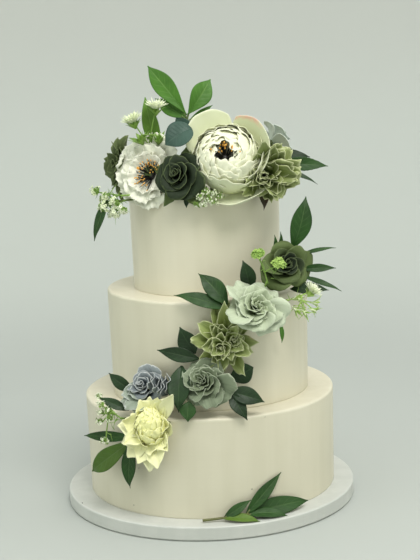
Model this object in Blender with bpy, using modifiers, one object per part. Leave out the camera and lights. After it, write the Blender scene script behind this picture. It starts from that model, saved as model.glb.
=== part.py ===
"""A three-tier iced cake on a round drum, dressed with silk flowers, leaves and filler sprays.

Metres, +Z up. The origin is the centre of the drum's underside, and the front of the cake faces -Y.
Places on the cake are given as a bearing round its axis (degrees from the front, positive to the
right), a reach from that axis, and a height above the table.
"""

from collections import namedtuple
from math import cos, pi, radians, sin, sqrt

import bmesh
import bpy
from mathutils import Matrix, Vector

# Driving dimensions: a 12 inch drum under iced 10, 8 and 6 inch tiers
DRUM_RADIUS = 0.1524
DRUM_HEIGHT = 0.0148
DRUM_EDGE = 0.0016
ICING_EDGE = 0.0028
TIER_TAPER = 0.0016
Tier = namedtuple("Tier", "radius height shift")
TIERS = {
    "tier_bottom": Tier(0.1312, 0.1021, 0.0017),
    "tier_middle": Tier(0.1047, 0.1106, 0.0035),
    "tier_top": Tier(0.0781, 0.1050, 0.0037),
}
ROUND_STEPS = 44

# Sizes that all flowers and leaves share
GAP = 0.0003
PETAL_THICKNESS = 0.0015
LEAF_THICKNESS = 0.0011
STEM_RADIUS = 0.0012
FLOWER_STEM_RADIUS = 0.0034
STEM_DEPTH = 0.004
STEM_INTO_LEAF = 0.12
STEM_FORK = 0.004

# Colours, as the photograph shows them
ICING = (0.80, 0.77, 0.64)
DRUM_WHITE = (0.78, 0.79, 0.79)
CREAM = (0.84, 0.85, 0.70)
WHITE = (0.87, 0.87, 0.80)
YELLOW_CREAM = (0.86, 0.85, 0.52)
DARK_GREEN = (0.09, 0.13, 0.08)
OLIVE = (0.30, 0.36, 0.11)
DUSTY_OLIVE = (0.20, 0.26, 0.13)
SAGE = (0.40, 0.48, 0.40)
PALE_SAGE = (0.58, 0.67, 0.57)
DUSTY_BLUE = (0.36, 0.40, 0.46)
GREY_SAGE = (0.42, 0.46, 0.43)
LEAF_GREEN = (0.07, 0.17, 0.05)
LEAF_DARK = (0.03, 0.09, 0.04)
LEAF_LIGHT = (0.16, 0.32, 0.08)
TEAL = (0.10, 0.18, 0.15)
BROWN_GREEN = (0.13, 0.09, 0.05)
FILLER_WHITE = (0.72, 0.78, 0.62)
FILLER_GREEN = (0.38, 0.58, 0.16)

# A whorl of petals, joined side by side into one scalloped cup. Lengths are shares of the flower's
# radius, leans are degrees from its axis, notch is how deep the rim dips between two petals, and
# columns and rows are the facets that one petal has.
Whorl = namedtuple("Whorl", "petals length root rise lean_root lean_tip notch pointed ruffle columns rows")
ROSE = (
    Whorl(4, 1.00, 0.13, 0.02, 18, 44, 0.24, False, 0.04, 3, 1),
    Whorl(5, 1.15, 0.14, 0.00, 40, 88, 0.26, False, 0.05, 3, 2),
)
RUFFLED = (
    Whorl(4, 0.90, 0.13, 0.02, 24, 60, 0.24, False, 0.05, 3, 1),
    Whorl(5, 1.12, 0.14, 0.00, 48, 94, 0.20, False, 0.06, 3, 2),
)
PEONY = (
    Whorl(4, 1.00, 0.14, 0.10, 50, -52, 0.12, False, 0.02, 3, 2),
    Whorl(5, 1.14, 0.15, 0.04, 66, -10, 0.20, False, 0.02, 3, 2),
    Whorl(3, 1.32, 0.15, 0.00, 76, 44, 0.38, False, 0.02, 4, 2),
)
ANEMONE = (
    Whorl(5, 0.80, 0.10, 0.10, 52, 72, 0.24, False, 0.05, 3, 1),
    Whorl(6, 1.06, 0.10, 0.00, 72, 88, 0.24, False, 0.07, 3, 2),
)
DAHLIA = (
    Whorl(6, 0.80, 0.10, 0.08, 32, 66, 0.45, True, 0.03, 2, 1),
    Whorl(8, 1.08, 0.10, 0.00, 60, 96, 0.42, True, 0.04, 2, 2),
)
BROAD_DAHLIA = (
    Whorl(5, 0.76, 0.10, 0.14, 36, -28, 0.26, False, 0.06, 3, 2),
    Whorl(7, 1.08, 0.12, 0.00, 62, 88, 0.42, True, 0.05, 2, 2),
)

# Each flower: its whorls, face centre (bearing, reach, height), facing (bearing, elevation), radius,
# stretch across its upper and lower petals, core radius and height as shares of the radius, turn
# about its own axis, and colour
Flower = namedtuple("Flower", "whorls centre facing radius stretch core turn colour")
BUD = (0.24, 0.42)
FLOWERS = {
    "rose_green_top": Flower(ROSE, (-13.5, 0.0860, 0.3510), (-12, 24), 0.0240, 1.05, BUD, 10, DARK_GREEN),
    "peony_cream": Flower(PEONY, (20.8, 0.0790, 0.3700), (-2, 34), 0.0410, 1.05, (0.24, 0.30), -40, CREAM),
    "anemone_white": Flower(
        ANEMONE, (-45.2, 0.0870, 0.3527), (-30, 16), 0.0320, 1.05, (0.26, 0.20), 0, WHITE,
    ),
    "dahlia_green_top": Flower(
        DAHLIA, (54.5, 0.0925, 0.3520), (34, 12), 0.0330, 1.05, (0.22, 0.34), 12, OLIVE,
    ),
    "rose_grey": Flower(ROSE, (86.6, 0.0840, 0.3810), (118, 46), 0.0265, 1.0, BUD, 35, GREY_SAGE),
    "dahlia_dusty": Flower(
        DAHLIA, (-75.5, 0.0900, 0.3590), (-76, 14), 0.0290, 1.0, (0.22, 0.34), 0, DUSTY_OLIVE,
    ),
    "lisianthus_pale": Flower(RUFFLED, (23.8, 0.1310, 0.2240), (14, 26), 0.0295, 1.0, BUD, 0, PALE_SAGE),
    "rose_green_side": Flower(ROSE, (46.4, 0.1160, 0.2570), (28, 36), 0.0285, 1.0, BUD, 40, DARK_GREEN),
    "dahlia_green_side": Flower(
        DAHLIA, (7.4, 0.1240, 0.1910), (6, 8), 0.0295, 1.22, (0.24, 0.34), 4, OLIVE,
    ),
    "rose_sage": Flower(RUFFLED, (-0.5, 0.1280, 0.1550), (-8, 22), 0.0255, 1.0, BUD, 25, SAGE),
    "rose_blue": Flower(ROSE, (-26.5, 0.1280, 0.1510), (-26, 40), 0.0225, 1.0, BUD, 0, DUSTY_BLUE),
    "dahlia_cream": Flower(
        BROAD_DAHLIA, (-23.6, 0.1480, 0.1110), (-18, 12), 0.0300, 1.22, (0.30, 0.36), 40, YELLOW_CREAM,
    ),
}
CALYX_SHARE = 0.62

# Each leaf: base and tip as bearing, reach and height, width, arch, and the bearing and elevation
# that its upper face looks towards. Leaves listed together are on one twig, and are one piece.
Leaf = namedtuple("Leaf", "base tip width arch face")
Sprig = namedtuple("Sprig", "colour stemmed leaves")
SPRIGS = {
    "leaves_crown": Sprig(LEAF_LIGHT, True, (
        Leaf((-18.0, 0.0355, 0.4060), (-69.6, 0.0515, 0.4571), 0.0210, 0.003, (-10, 10)),
        Leaf((-16.0, 0.0350, 0.4070), (34.9, 0.0268, 0.4409), 0.0215, 0.003, (5, 5)),
        Leaf((-20.0, 0.0360, 0.4030), (-58.1, 0.0492, 0.4242), 0.0160, -0.002, (-20, 15)),
        Leaf((-14.0, 0.0330, 0.4010), (36.7, 0.0274, 0.4148), 0.0065, 0.001, (10, 10)),
    )),
    "leaf_upright": Sprig(LEAF_LIGHT, True, (
        Leaf((-44.0, 0.0560, 0.3700), (-52.6, 0.0658, 0.4257), 0.0135, 0.002, (-35, 0)),
    )),
    "leaf_teal": Sprig(TEAL, False, (
        Leaf((-1.8, 0.0480, 0.3951), (-25.0, 0.0794, 0.3784), 0.0240, 0.002, (-8, 35)),
    )),
    "leaf_teal_small": Sprig(TEAL, False, (
        Leaf((-8.0, 0.0460, 0.3860), (-25.7, 0.0488, 0.4045), 0.0145, 0.001, (-20, 10)),
    )),
    "leaf_hanging": Sprig(LEAF_GREEN, True, (
        Leaf((-55.0, 0.1130, 0.3290), (-57.0, 0.1285, 0.2876), 0.0100, 0.002, (-30, 0)),
    )),
    "leaf_top_right_upper": Sprig(LEAF_DARK, False, (
        Leaf((68.0, 0.0830, 0.3620), (73.2, 0.1174, 0.3606), 0.0110, 0.002, (20, 30)),
    )),
    "leaf_top_right_broad": Sprig(LEAF_GREEN, False, (
        Leaf((66.0, 0.0880, 0.3560), (71.2, 0.1367, 0.3508), 0.0135, 0.002, (25, 15)),
    )),
    "leaf_top_right_narrow": Sprig(LEAF_DARK, False, (
        Leaf((62.0, 0.0900, 0.3500), (67.1, 0.1286, 0.3347), 0.0055, 0.002, (10, 40)),
    )),
    "leaf_tip_rose": Sprig(LEAF_DARK, False, (
        Leaf((-9.4, 0.0832, 0.3320), (-9.3, 0.0851, 0.3189), 0.0055, 0.000, (-9, 0)),
    )),
    "leaf_tip_dahlia": Sprig(BROWN_GREEN, False, (
        Leaf((46.5, 0.0860, 0.3330), (42.8, 0.0930, 0.3118), 0.0125, 0.001, (30, 0)),
    )),
    "leaf_side_tall": Sprig(LEAF_GREEN, False, (
        Leaf((54.9, 0.1090, 0.2700), (60.6, 0.1222, 0.3222), 0.0215, 0.004, (10, 5)),
    )),
    "leaf_side_tuft_left": Sprig(LEAF_GREEN, False, (
        Leaf((49.0, 0.0950, 0.2600), (48.1, 0.0989, 0.2861), 0.0065, 0.001, (30, 0)),
    )),
    "leaf_side_tuft_right": Sprig(LEAF_GREEN, False, (
        Leaf((53.2, 0.0950, 0.2600), (52.2, 0.1011, 0.2883), 0.0065, 0.001, (30, 0)),
    )),
    "leaf_rose_left": Sprig(LEAF_DARK, False, (
        Leaf((26.5, 0.1010, 0.2380), (22.8, 0.0990, 0.2645), 0.0115, 0.001, (20, 0)),
    )),
    "leaf_side_thin": Sprig(LEAF_GREEN, False, (
        Leaf((59.0, 0.1140, 0.2640), (65.9, 0.1471, 0.2707), 0.0045, 0.002, (10, 40)),
    )),
    "leaf_side_right_upper": Sprig(LEAF_GREEN, False, (
        Leaf((57.0, 0.1180, 0.2500), (63.7, 0.1487, 0.2507), 0.0085, 0.002, (20, 20)),
    )),
    "leaf_side_right_lower": Sprig(LEAF_GREEN, False, (
        Leaf((57.0, 0.1180, 0.2440), (61.7, 0.1563, 0.2286), 0.0060, 0.002, (20, 30)),
    )),
    "leaf_rose_below": Sprig(LEAF_DARK, False, (
        Leaf((48.0, 0.1160, 0.2330), (55.9, 0.1499, 0.2322), 0.0130, 0.002, (20, 30)),
    )),
    "leaf_middle_up": Sprig(LEAF_GREEN, False, (
        Leaf((11.2, 0.1142, 0.2260), (-2.3, 0.0981, 0.2568), 0.0165, 0.002, (10, 25)),
    )),
    "leaf_middle_left": Sprig(LEAF_GREEN, False, (
        Leaf((10.6, 0.1148, 0.2220), (-15.1, 0.1115, 0.2383), 0.0130, 0.003, (-5, 40)),
    )),
    "leaf_hang_small": Sprig(LEAF_LIGHT, False, (
        Leaf((36.5, 0.1180, 0.2030), (38.0, 0.1180, 0.1808), 0.0050, 0.001, (30, 0)),
    )),
    "leaf_dahlia_up": Sprig(LEAF_DARK, False, (
        Leaf((-5.0, 0.1122, 0.1790), (-13.0, 0.1128, 0.2049), 0.0180, 0.001, (-15, 0)),
    )),
    "leaf_dahlia_left": Sprig(LEAF_DARK, False, (
        Leaf((-3.4, 0.1150, 0.1740), (-24.1, 0.1181, 0.1828), 0.0145, 0.001, (-10, 15)),
    )),
    "leaf_dahlia_right": Sprig(LEAF_DARK, False, (
        Leaf((12.0, 0.1146, 0.1500), (23.1, 0.1175, 0.1600), 0.0160, 0.001, (18, 0)),
    )),
    "leaves_sage_right": Sprig(LEAF_DARK, False, (
        Leaf((10.1, 0.1230, 0.1430), (23.7, 0.1376, 0.1310), 0.0185, 0.002, (14, 25)),
        Leaf((10.3, 0.1240, 0.1420), (15.7, 0.1390, 0.1156), 0.0150, 0.002, (10, 15)),
    )),
    "leaf_between": Sprig(LEAF_DARK, False, (
        Leaf((-12.1, 0.1140, 0.1668), (-12.3, 0.1372, 0.1265), 0.0190, 0.003, (-12, 30)),
    )),
    "leaf_sage_below": Sprig(LEAF_GREEN, False, (
        Leaf((-8.0, 0.1300, 0.1350), (-8.5, 0.1380, 0.1170), 0.0165, 0.001, (-8, 20)),
    )),
    "leaf_blue_left": Sprig(LEAF_DARK, False, (
        Leaf((-37.0, 0.1220, 0.1400), (-48.3, 0.1323, 0.1562), 0.0115, 0.002, (-30, 20)),
    )),
    "leaf_behind_spray": Sprig(LEAF_DARK, False, (
        Leaf((-35.0, 0.1360, 0.1240), (-46.2, 0.1504, 0.1361), 0.0100, 0.001, (-30, 40)),
    )),
    "leaves_fan": Sprig(LEAF_GREEN, True, (
        Leaf((-31.6, 0.1415, 0.0995), (-58.9, 0.1509, 0.0899), 0.0110, 0.002, (-30, 25)),
        Leaf((-31.8, 0.1415, 0.0970), (-54.2, 0.1505, 0.0539), 0.0175, 0.003, (-35, 5)),
        Leaf((-32.2, 0.1420, 0.0960), (-35.2, 0.1419, 0.0443), 0.0145, 0.003, (-30, 0)),
    )),
}
LEAF_BASE_SHARE = 0.10
LEAF_TIP_SHARE = 0.05
LONG_LEAF = 0.030

# The loose sprig that lies on the drum against the bottom tier, stem end to last node
SPRIG_STEM = ((-3.9, 0.1400, 0.0172), (3.5, 0.1385, 0.0180), (15.1, 0.1375, 0.0195))
SPRIG_LEAVES = (
    Leaf((4.5, 0.1384, 0.0182), (16.6, 0.1365, 0.0335), 0.0100, 0.001, (8, 35)),
    Leaf((13.8, 0.1376, 0.0192), (31.5, 0.1345, 0.0555), 0.0125, 0.001, (20, 30)),
    Leaf((15.1, 0.1375, 0.0195), (43.5, 0.1420, 0.0235), 0.0180, 0.003, (28, 50)),
    Leaf((14.5, 0.1376, 0.0193), (30.0, 0.1490, 0.0165), 0.0120, 0.002, (20, 55)),
    Leaf((4.0, 0.1385, 0.0181), (18.2, 0.1500, 0.0160), 0.0085, 0.002, (10, 60)),
)

# Filler sprays: root, then the heads that its stems end in, each as bearing, reach and height
Spray = namedtuple("Spray", "colour root heads head_radius")
SPRAYS = {
    "filler_buds": Spray(FILLER_WHITE, (-45.0, 0.0620, 0.3700), (
        (-52.8, 0.0827, 0.4026), (-38.2, 0.0637, 0.4164), (-48.4, 0.0783, 0.3866), (-34.9, 0.0634, 0.3957),
    ), 0.0068),
    "filler_left": Spray(FILLER_WHITE, (-52.6, 0.0956, 0.3300), (
        (-59.0, 0.1205, 0.3355), (-55.5, 0.1164, 0.3197), (-52.6, 0.1086, 0.3133), (-49.8, 0.1023, 0.3170),
    ), 0.0044),
    "filler_centre": Spray(FILLER_WHITE, (4.4, 0.0830, 0.3393), (
        (5.1, 0.0920, 0.3270), (0.1, 0.0930, 0.3300), (8.9, 0.0910, 0.3335), (-1.8, 0.0910, 0.3225),
    ), 0.0040),
    "filler_blooms": Spray(FILLER_GREEN, (31.2, 0.1216, 0.2438), (
        (25.7, 0.1243, 0.2731), (33.1, 0.1337, 0.2636),
    ), 0.0066),
    "filler_right": Spray(FILLER_GREEN, (43.0, 0.1190, 0.2226), (
        (48.5, 0.1390, 0.2325), (49.4, 0.1420, 0.2223), (45.6, 0.1345, 0.2292), (43.8, 0.1310, 0.2124),
        (48.8, 0.1400, 0.2124),
    ), 0.0058),
    "filler_low": Spray(FILLER_WHITE, (-36.0, 0.1440, 0.1130), (
        (-46.5, 0.1500, 0.1290), (-41.5, 0.1500, 0.1270), (-46.5, 0.1510, 0.1170), (-46.0, 0.1510, 0.1020),
    ), 0.0044),
}


def around(bearing, reach, height):
    """The point at this bearing round the cake's axis, reach from it, and height."""
    angle = radians(bearing)
    return Vector((reach * sin(angle), -reach * cos(angle), height))


def towards(bearing, elevation):
    """The unit direction that looks out at this bearing and elevation."""
    rise = radians(elevation)
    return around(bearing, cos(rise), sin(rise))


def clear_scene():
    for obj in list(bpy.data.objects):
        bpy.data.objects.remove(obj, do_unlink=True)


def new_collection(name):
    collection = bpy.data.collections.new(name)
    bpy.context.scene.collection.children.link(collection)
    return collection


def add_object(name, mesh, collection):
    obj = bpy.data.objects.new(name, mesh)
    collection.objects.link(obj)
    return obj


def mesh_from(name, bm):
    mesh = bpy.data.meshes.new(name)
    bm.to_mesh(mesh)
    bm.free()
    return mesh


def paint(obj, colour, roughness):
    """Gives the object a Principled material of this colour and roughness."""
    material = bpy.data.materials.new(obj.name)
    material.use_nodes = True
    shader = material.node_tree.nodes["Principled BSDF"]
    shader.inputs["Base Color"].default_value = (*colour, 1.0)
    shader.inputs["Roughness"].default_value = roughness
    shader.inputs["Metallic"].default_value = 0.0
    obj.data.materials.clear()
    obj.data.materials.append(material)


def bake_modifiers(obj):
    """Replaces the object's mesh with what its modifiers make of it."""
    graph = bpy.context.evaluated_depsgraph_get()
    mesh = bpy.data.meshes.new_from_object(obj.evaluated_get(graph))
    obj.modifiers.clear()
    obj.data = mesh


def keep_largest_shell(obj):
    """Drops loose scraps and fills sealed hollows, so that one closed shell is left."""
    bm = bmesh.new()
    bm.from_mesh(obj.data)
    unseen = set(bm.verts)
    shells = []
    while unseen:
        stack = [unseen.pop()]
        shell = set(stack)
        while stack:
            for edge in stack.pop().link_edges:
                for vertex in edge.verts:
                    if vertex in unseen:
                        unseen.discard(vertex)
                        shell.add(vertex)
                        stack.append(vertex)
        faces = {face for vertex in shell for face in vertex.link_faces}
        volume = sum(six_volume(face) for face in faces)
        shells.append((volume, shell))
    largest = max(shells, key=lambda found: found[0])[1]
    bmesh.ops.delete(bm, geom=[v for v in bm.verts if v not in largest], context="VERTS")
    bm.to_mesh(obj.data)
    bm.free()


def six_volume(face):
    """Six times the signed volume between this face and the origin."""
    first, *rest = [vertex.co for vertex in face.verts]
    return sum(first.dot(a.cross(b)) for a, b in zip(rest, rest[1:]))


def join_solids(base, others, name):
    """Joins the closed solids of a collection to the base with one Boolean union, and removes them."""
    group = new_collection(name + "_joined")
    for other in others:
        for owner in list(other.users_collection):
            owner.objects.unlink(other)
        group.objects.link(other)
    union = base.modifiers.new("Join", "BOOLEAN")
    union.operation = "UNION"
    union.solver = "MANIFOLD"
    union.operand_type = "COLLECTION"
    union.collection = group
    bake_modifiers(base)
    for other in list(group.objects):
        bpy.data.objects.remove(other, do_unlink=True)
    bpy.data.collections.remove(group)
    keep_largest_shell(base)


def boxes_meet(a, b):
    """Whether the bounding boxes of two objects' meshes overlap, in world space."""
    spans = []
    for obj in (a, b):
        corners = [obj.matrix_world @ Vector(corner) for corner in obj.bound_box]
        spans.append([(min(c[i] for c in corners), max(c[i] for c in corners)) for i in range(3)])
    return all(low[0] < high[1] and high[0] < low[1] for low, high in zip(*spans))


def carve(obj, blockers):
    """Cuts away what would cross the blockers, and keeps the largest piece that is left."""
    bpy.context.view_layer.update()
    met = [blocker for blocker in blockers if boxes_meet(obj, blocker)]
    if not met:
        return
    for blocker in met:
        cut = obj.modifiers.new("Clear " + blocker.name, "BOOLEAN")
        cut.operation = "DIFFERENCE"
        cut.solver = "MANIFOLD"
        cut.object = blocker
    bake_modifiers(obj)
    keep_largest_shell(obj)


def make_helper(obj):
    """Marks an object as a cutter that isn't a piece of the cake."""
    obj.hide_render = True
    obj.display_type = "WIRE"


def add_turned(name, profile, collection):
    """A solid turned round Z from a profile of (radius, height), from the outer top to the outer bottom."""
    bm = bmesh.new()
    points = [bm.verts.new((radius, 0.0, height)) for radius, height in profile]
    for a, b in zip(points, points[1:]):
        bm.edges.new((a, b))
    obj = add_object(name, mesh_from(name, bm), collection)
    turn = obj.modifiers.new("Turn", "SCREW")
    turn.steps = ROUND_STEPS
    turn.render_steps = ROUND_STEPS
    turn.use_merge_vertices = True
    turn.merge_threshold = 0.00001
    bake_modifiers(obj)
    return obj


def add_drum(collection):
    """The drum: a thick round board with a slightly eased top edge."""
    profile = (
        (0.0, DRUM_HEIGHT),
        (DRUM_RADIUS - DRUM_EDGE, DRUM_HEIGHT),
        (DRUM_RADIUS, DRUM_HEIGHT - DRUM_EDGE),
        (DRUM_RADIUS, 0.0),
        (0.0, 0.0),
    )
    drum = add_turned("cake_drum", profile, collection)
    paint(drum, DRUM_WHITE, 0.6)
    return drum


def tier_profile(tier, bottom, grow):
    """A tier's half section, eased at its top edge and slightly narrower at its foot."""
    top = bottom + tier.height + grow
    rim = tier.radius + grow
    foot = rim - TIER_TAPER
    eased = ICING_EDGE * (1 - sqrt(0.5))
    return (
        (0.0, top),
        (rim - ICING_EDGE, top),
        (rim - eased, top - eased),
        (rim, top - ICING_EDGE),
        (foot, bottom - grow),
        (0.0, bottom - grow),
    )


def add_tiers(collection, cutters):
    """The iced tiers, each on the one below, and a slightly larger cutter for each."""
    bottom = DRUM_HEIGHT + GAP
    blockers = []
    for name, tier in TIERS.items():
        solid = add_turned(name, tier_profile(tier, bottom, 0.0), collection)
        solid.location.x = tier.shift
        paint(solid, ICING, 0.5)
        for polygon in solid.data.polygons:
            polygon.use_smooth = True
        solid.data.set_sharp_from_angle(angle=radians(40))
        guard = add_turned("guard_" + name, tier_profile(tier, bottom, GAP), cutters)
        guard.location.x = tier.shift
        make_helper(guard)
        blockers.append(guard)
        bottom += tier.height + GAP
    return blockers


def shaped_grid(columns, rows, shape):
    """A grid of triangles whose points are shape(across, along), across from -1 to 1, along from 0 to 1."""
    bm = bmesh.new()
    bmesh.ops.create_grid(bm, x_segments=columns, y_segments=rows, size=1.0)
    for vertex in bm.verts:
        vertex.co = shape(vertex.co.x, (vertex.co.y + 1) / 2)
    bmesh.ops.triangulate(bm, faces=bm.faces)
    return bm


def thicken(obj, thickness):
    shell = obj.modifiers.new("Thickness", "SOLIDIFY")
    shell.thickness = thickness
    shell.offset = 0.0
    shell.use_even_offset = False
    bake_modifiers(obj)


def cup_shape(whorl, radius):
    """A whorl in its flower's frame, from the share of the way round it and the share along it. Its
    wall leaves the root at one lean and bends evenly to another, and its rim is scalloped."""
    length = whorl.length * radius
    start = radians(whorl.lean_root)
    bend = radians(whorl.lean_tip - whorl.lean_root)

    def shape(around_share, along):
        across = abs(2 * ((whorl.petals * around_share) % 1.0) - 1)
        dip = across if whorl.pointed else across ** 2.5
        along *= 1 - whorl.notch * dip
        lean = start + bend * along
        if abs(bend) > 1e-6:
            out = (cos(start) - cos(lean)) / bend
            up = (sin(lean) - sin(start)) / bend
        else:
            out = along * sin(start)
            up = along * cos(start)
        reach = whorl.root * radius + length * out
        height = whorl.rise * radius + length * up
        wave = whorl.ruffle * radius * along * sin(2 * pi * around_share * (whorl.petals + 2))
        tuck = 0.10 * radius * along * across * across
        angle = 2 * pi * around_share
        reach -= (wave + tuck) * cos(lean)
        height += (wave + tuck) * sin(lean)
        return Vector((reach * cos(angle), reach * sin(angle), height))

    return shape


def add_whorls(name, flower, frame, collection):
    """The flower's whorls, each a closed solid of its own."""
    cups = []
    for level, whorl in enumerate(flower.whorls):
        shape = cup_shape(whorl, flower.radius)
        columns = whorl.petals * whorl.columns
        bm = shaped_grid(columns, whorl.rows, lambda across, along: shape((across + 1) / 2, along))
        bmesh.ops.remove_doubles(bm, verts=bm.verts, dist=1e-6)
        cup = add_object(f"{name}_whorl_{level}", mesh_from(name, bm), collection)
        thicken(cup, PETAL_THICKNESS)
        turn = Matrix.Rotation(radians(flower.turn + 180 * level / whorl.petals), 4, "Z")
        cup.data.transform(frame @ Matrix.Diagonal((1, flower.stretch, 1, 1)) @ turn)
        cups.append(cup)
    return cups


def flower_frame(flower):
    """The flower's own axes: Z along its facing, and the origin at its calyx."""
    facing = towards(*flower.facing)
    calyx = around(*flower.centre) - facing * flower.radius * CALYX_SHARE
    return Matrix.Translation(calyx) @ facing.to_track_quat("Z", "Y").to_matrix().to_4x4()


def add_rod(name, start, end, radius, sides, collection):
    """A straight round rod between two points."""
    bm = bmesh.new()
    length = (end - start).length
    bmesh.ops.create_cone(
        bm, cap_ends=True, segments=sides, radius1=radius, radius2=radius, depth=length
    )
    turn = (end - start).to_track_quat("Z", "Y").to_matrix().to_4x4()
    bm.transform(Matrix.Translation((start + end) / 2) @ turn)
    return add_object(name, mesh_from(name, bm), collection)


def add_ball(name, centre, size, segments, rings, collection, turn=None):
    """A ball, squashed to the three half sizes given."""
    bm = bmesh.new()
    bmesh.ops.create_uvsphere(bm, u_segments=segments, v_segments=rings, radius=1.0)
    scale = Matrix.Diagonal((*size, 1.0))
    bm.transform(Matrix.Translation(centre) @ (turn or Matrix.Identity(4)) @ scale)
    return add_object(name, mesh_from(name, bm), collection)


def nearest_icing(point):
    """The point a little way inside the icing that is nearest to this one."""
    bottom = DRUM_HEIGHT
    found = []
    for tier in TIERS.values():
        flat = Vector((point.x - tier.shift, point.y, 0))
        reach = min(flat.length, tier.radius - STEM_DEPTH)
        height = min(max(point.z, bottom + STEM_DEPTH), bottom + tier.height - STEM_DEPTH)
        found.append(flat.normalized() * reach + Vector((tier.shift, 0, height)))
        bottom += tier.height
    return min(found, key=lambda place: (place - point).length)


def add_flower(name, flower, collection):
    """A flower: a rounded core, its whorls, and the stem that carries it to the icing."""
    frame = flower_frame(flower)
    core_radius, core_height = (share * flower.radius for share in flower.core)
    size = (core_radius, core_radius, core_height)
    core = add_ball(name, (0, 0, core_height * 0.85), size, 7, 5, collection)
    core.data.transform(frame)
    calyx = frame.translation
    top = calyx + towards(*flower.facing) * core_height * 0.5
    stem = add_rod(name + "_stem", top, nearest_icing(calyx), FLOWER_STEM_RADIUS, 6, collection)
    join_solids(core, [stem, *add_whorls(name, flower, frame, collection)], name)
    return core


def leaf_shape(leaf):
    """A leaf blade: its midrib arches from base to tip, and its halves rise a little from the midrib
    and wave along their edges."""
    base = around(*leaf.base)
    tip = around(*leaf.tip)
    along_axis = (tip - base).normalized()
    face = towards(*leaf.face)
    face = (face - along_axis * face.dot(along_axis)).normalized()
    sideways = along_axis.cross(face)

    def shape(across, along):
        swell = sin(pi * along ** 0.85)
        share = max(swell, LEAF_BASE_SHARE if along < 0.5 else LEAF_TIP_SHARE)
        side = across * share * leaf.width / 2
        lift = leaf.arch * sin(pi * along) + 0.18 * abs(side)
        lift += 0.035 * leaf.width * sin(9.0 * along + 1.5 * across) * abs(across)
        return base.lerp(tip, along) + sideways * side + face * lift

    return shape


def add_blade(name, leaf, collection):
    """A leaf blade, in more facets if it is long."""
    length = (around(*leaf.tip) - around(*leaf.base)).length
    bm = shaped_grid(2, 4 if length > LONG_LEAF else 3, leaf_shape(leaf))
    blade = add_object(name, mesh_from(name, bm), collection)
    thicken(blade, LEAF_THICKNESS)
    return blade


def add_sprig(name, sprig, collection):
    """Leaf blades on one twig. Where its stems show, they meet in a fork, which stands on one stem."""
    solids = [add_blade(f"{name}_{index}", leaf, collection) for index, leaf in enumerate(sprig.leaves)]
    if sprig.stemmed:
        bases = [around(*leaf.base) for leaf in sprig.leaves]
        fork = sum(bases, Vector()) / len(bases) - Vector((0, 0, STEM_FORK))
        for index, (leaf, base) in enumerate(zip(sprig.leaves, bases)):
            into = base.lerp(around(*leaf.tip), STEM_INTO_LEAF)
            solids.append(add_rod(f"{name}_stem_{index}", into, fork, STEM_RADIUS, 3, collection))
        down = (nearest_icing(fork) - fork).normalized() * STEM_RADIUS
        solids.append(add_rod(name + "_stem", fork - down, nearest_icing(fork), STEM_RADIUS, 4, collection))
    first, *others = solids
    first.name = name
    if others:
        join_solids(first, others, name)
    return first


def add_base_sprig(collection):
    """The sprig on the drum: a bent stem with its leaves."""
    points = [around(*place) for place in SPRIG_STEM]
    solids = [
        add_rod(f"sprig_stem_{index}", a, b, STEM_RADIUS * 1.3, 4, collection)
        for index, (a, b) in enumerate(zip(points, points[1:]))
    ]
    solids += [
        add_blade(f"sprig_leaf_{index}", leaf, collection) for index, leaf in enumerate(SPRIG_LEAVES)
    ]
    first, *others = solids
    first.name = "sprig_on_drum"
    join_solids(first, others, first.name)
    return first


def add_spray(name, spray, collection):
    """A filler spray: a main stem to its first head, with side stems that leave it one after another,
    and a small rough ball for each head."""
    root = around(*spray.root)
    ends = [around(*place) for place in spray.heads]
    first = add_rod(name, root, ends[0], STEM_RADIUS, 4, collection)
    back_end = nearest_icing(root)
    solids = [add_rod(name + "_root", root.lerp(ends[0], 0.1), back_end, STEM_RADIUS, 4, collection)]
    for index, head in enumerate(ends):
        if index:
            fork = root.lerp(ends[0], 0.1 + 0.6 * index / len(ends))
            solids.append(add_rod(f"{name}_stem_{index}", fork, head, STEM_RADIUS, 3, collection))
        turn = (head - root).to_track_quat("Z", "Y").to_matrix().to_4x4()
        size = (spray.head_radius, spray.head_radius, spray.head_radius * 0.9)
        solids.append(add_ball(f"{name}_head_{index}", head, size, 5, 3, collection, turn))
    join_solids(first, solids, name)
    return first


def add_hull(obj, cutters, margin):
    """A cutter: the object's convex hull, grown by a margin, that later pieces keep out of."""
    bm = bmesh.new()
    bm.from_mesh(obj.data)
    hull = bmesh.ops.convex_hull(bm, input=bm.verts)
    spare = {item for key in ("geom_interior", "geom_unused") for item in hull[key]}
    bmesh.ops.delete(bm, geom=[v for v in spare if isinstance(v, bmesh.types.BMVert)], context="VERTS")
    kept = {face for face in hull["geom"] if isinstance(face, bmesh.types.BMFace)}
    loose = [face for face in bm.faces if face not in kept]
    bmesh.ops.delete(bm, geom=loose, context="FACES")
    bmesh.ops.recalc_face_normals(bm, faces=bm.faces)
    bm.normal_update()
    for vertex in bm.verts:
        vertex.co += vertex.normal * margin
    cutter = add_object("guard_" + obj.name, mesh_from("guard", bm), cutters)
    make_helper(cutter)
    return cutter


def add_thick_copy(obj, cutters, margin):
    """A cutter with the object's own form, grown by a margin along its normals."""
    bm = bmesh.new()
    bm.from_mesh(obj.data)
    bm.normal_update()
    for vertex in bm.verts:
        vertex.co += vertex.normal * margin
    cutter = add_object("guard_" + obj.name, mesh_from("guard", bm), cutters)
    make_helper(cutter)
    return cutter


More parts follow.
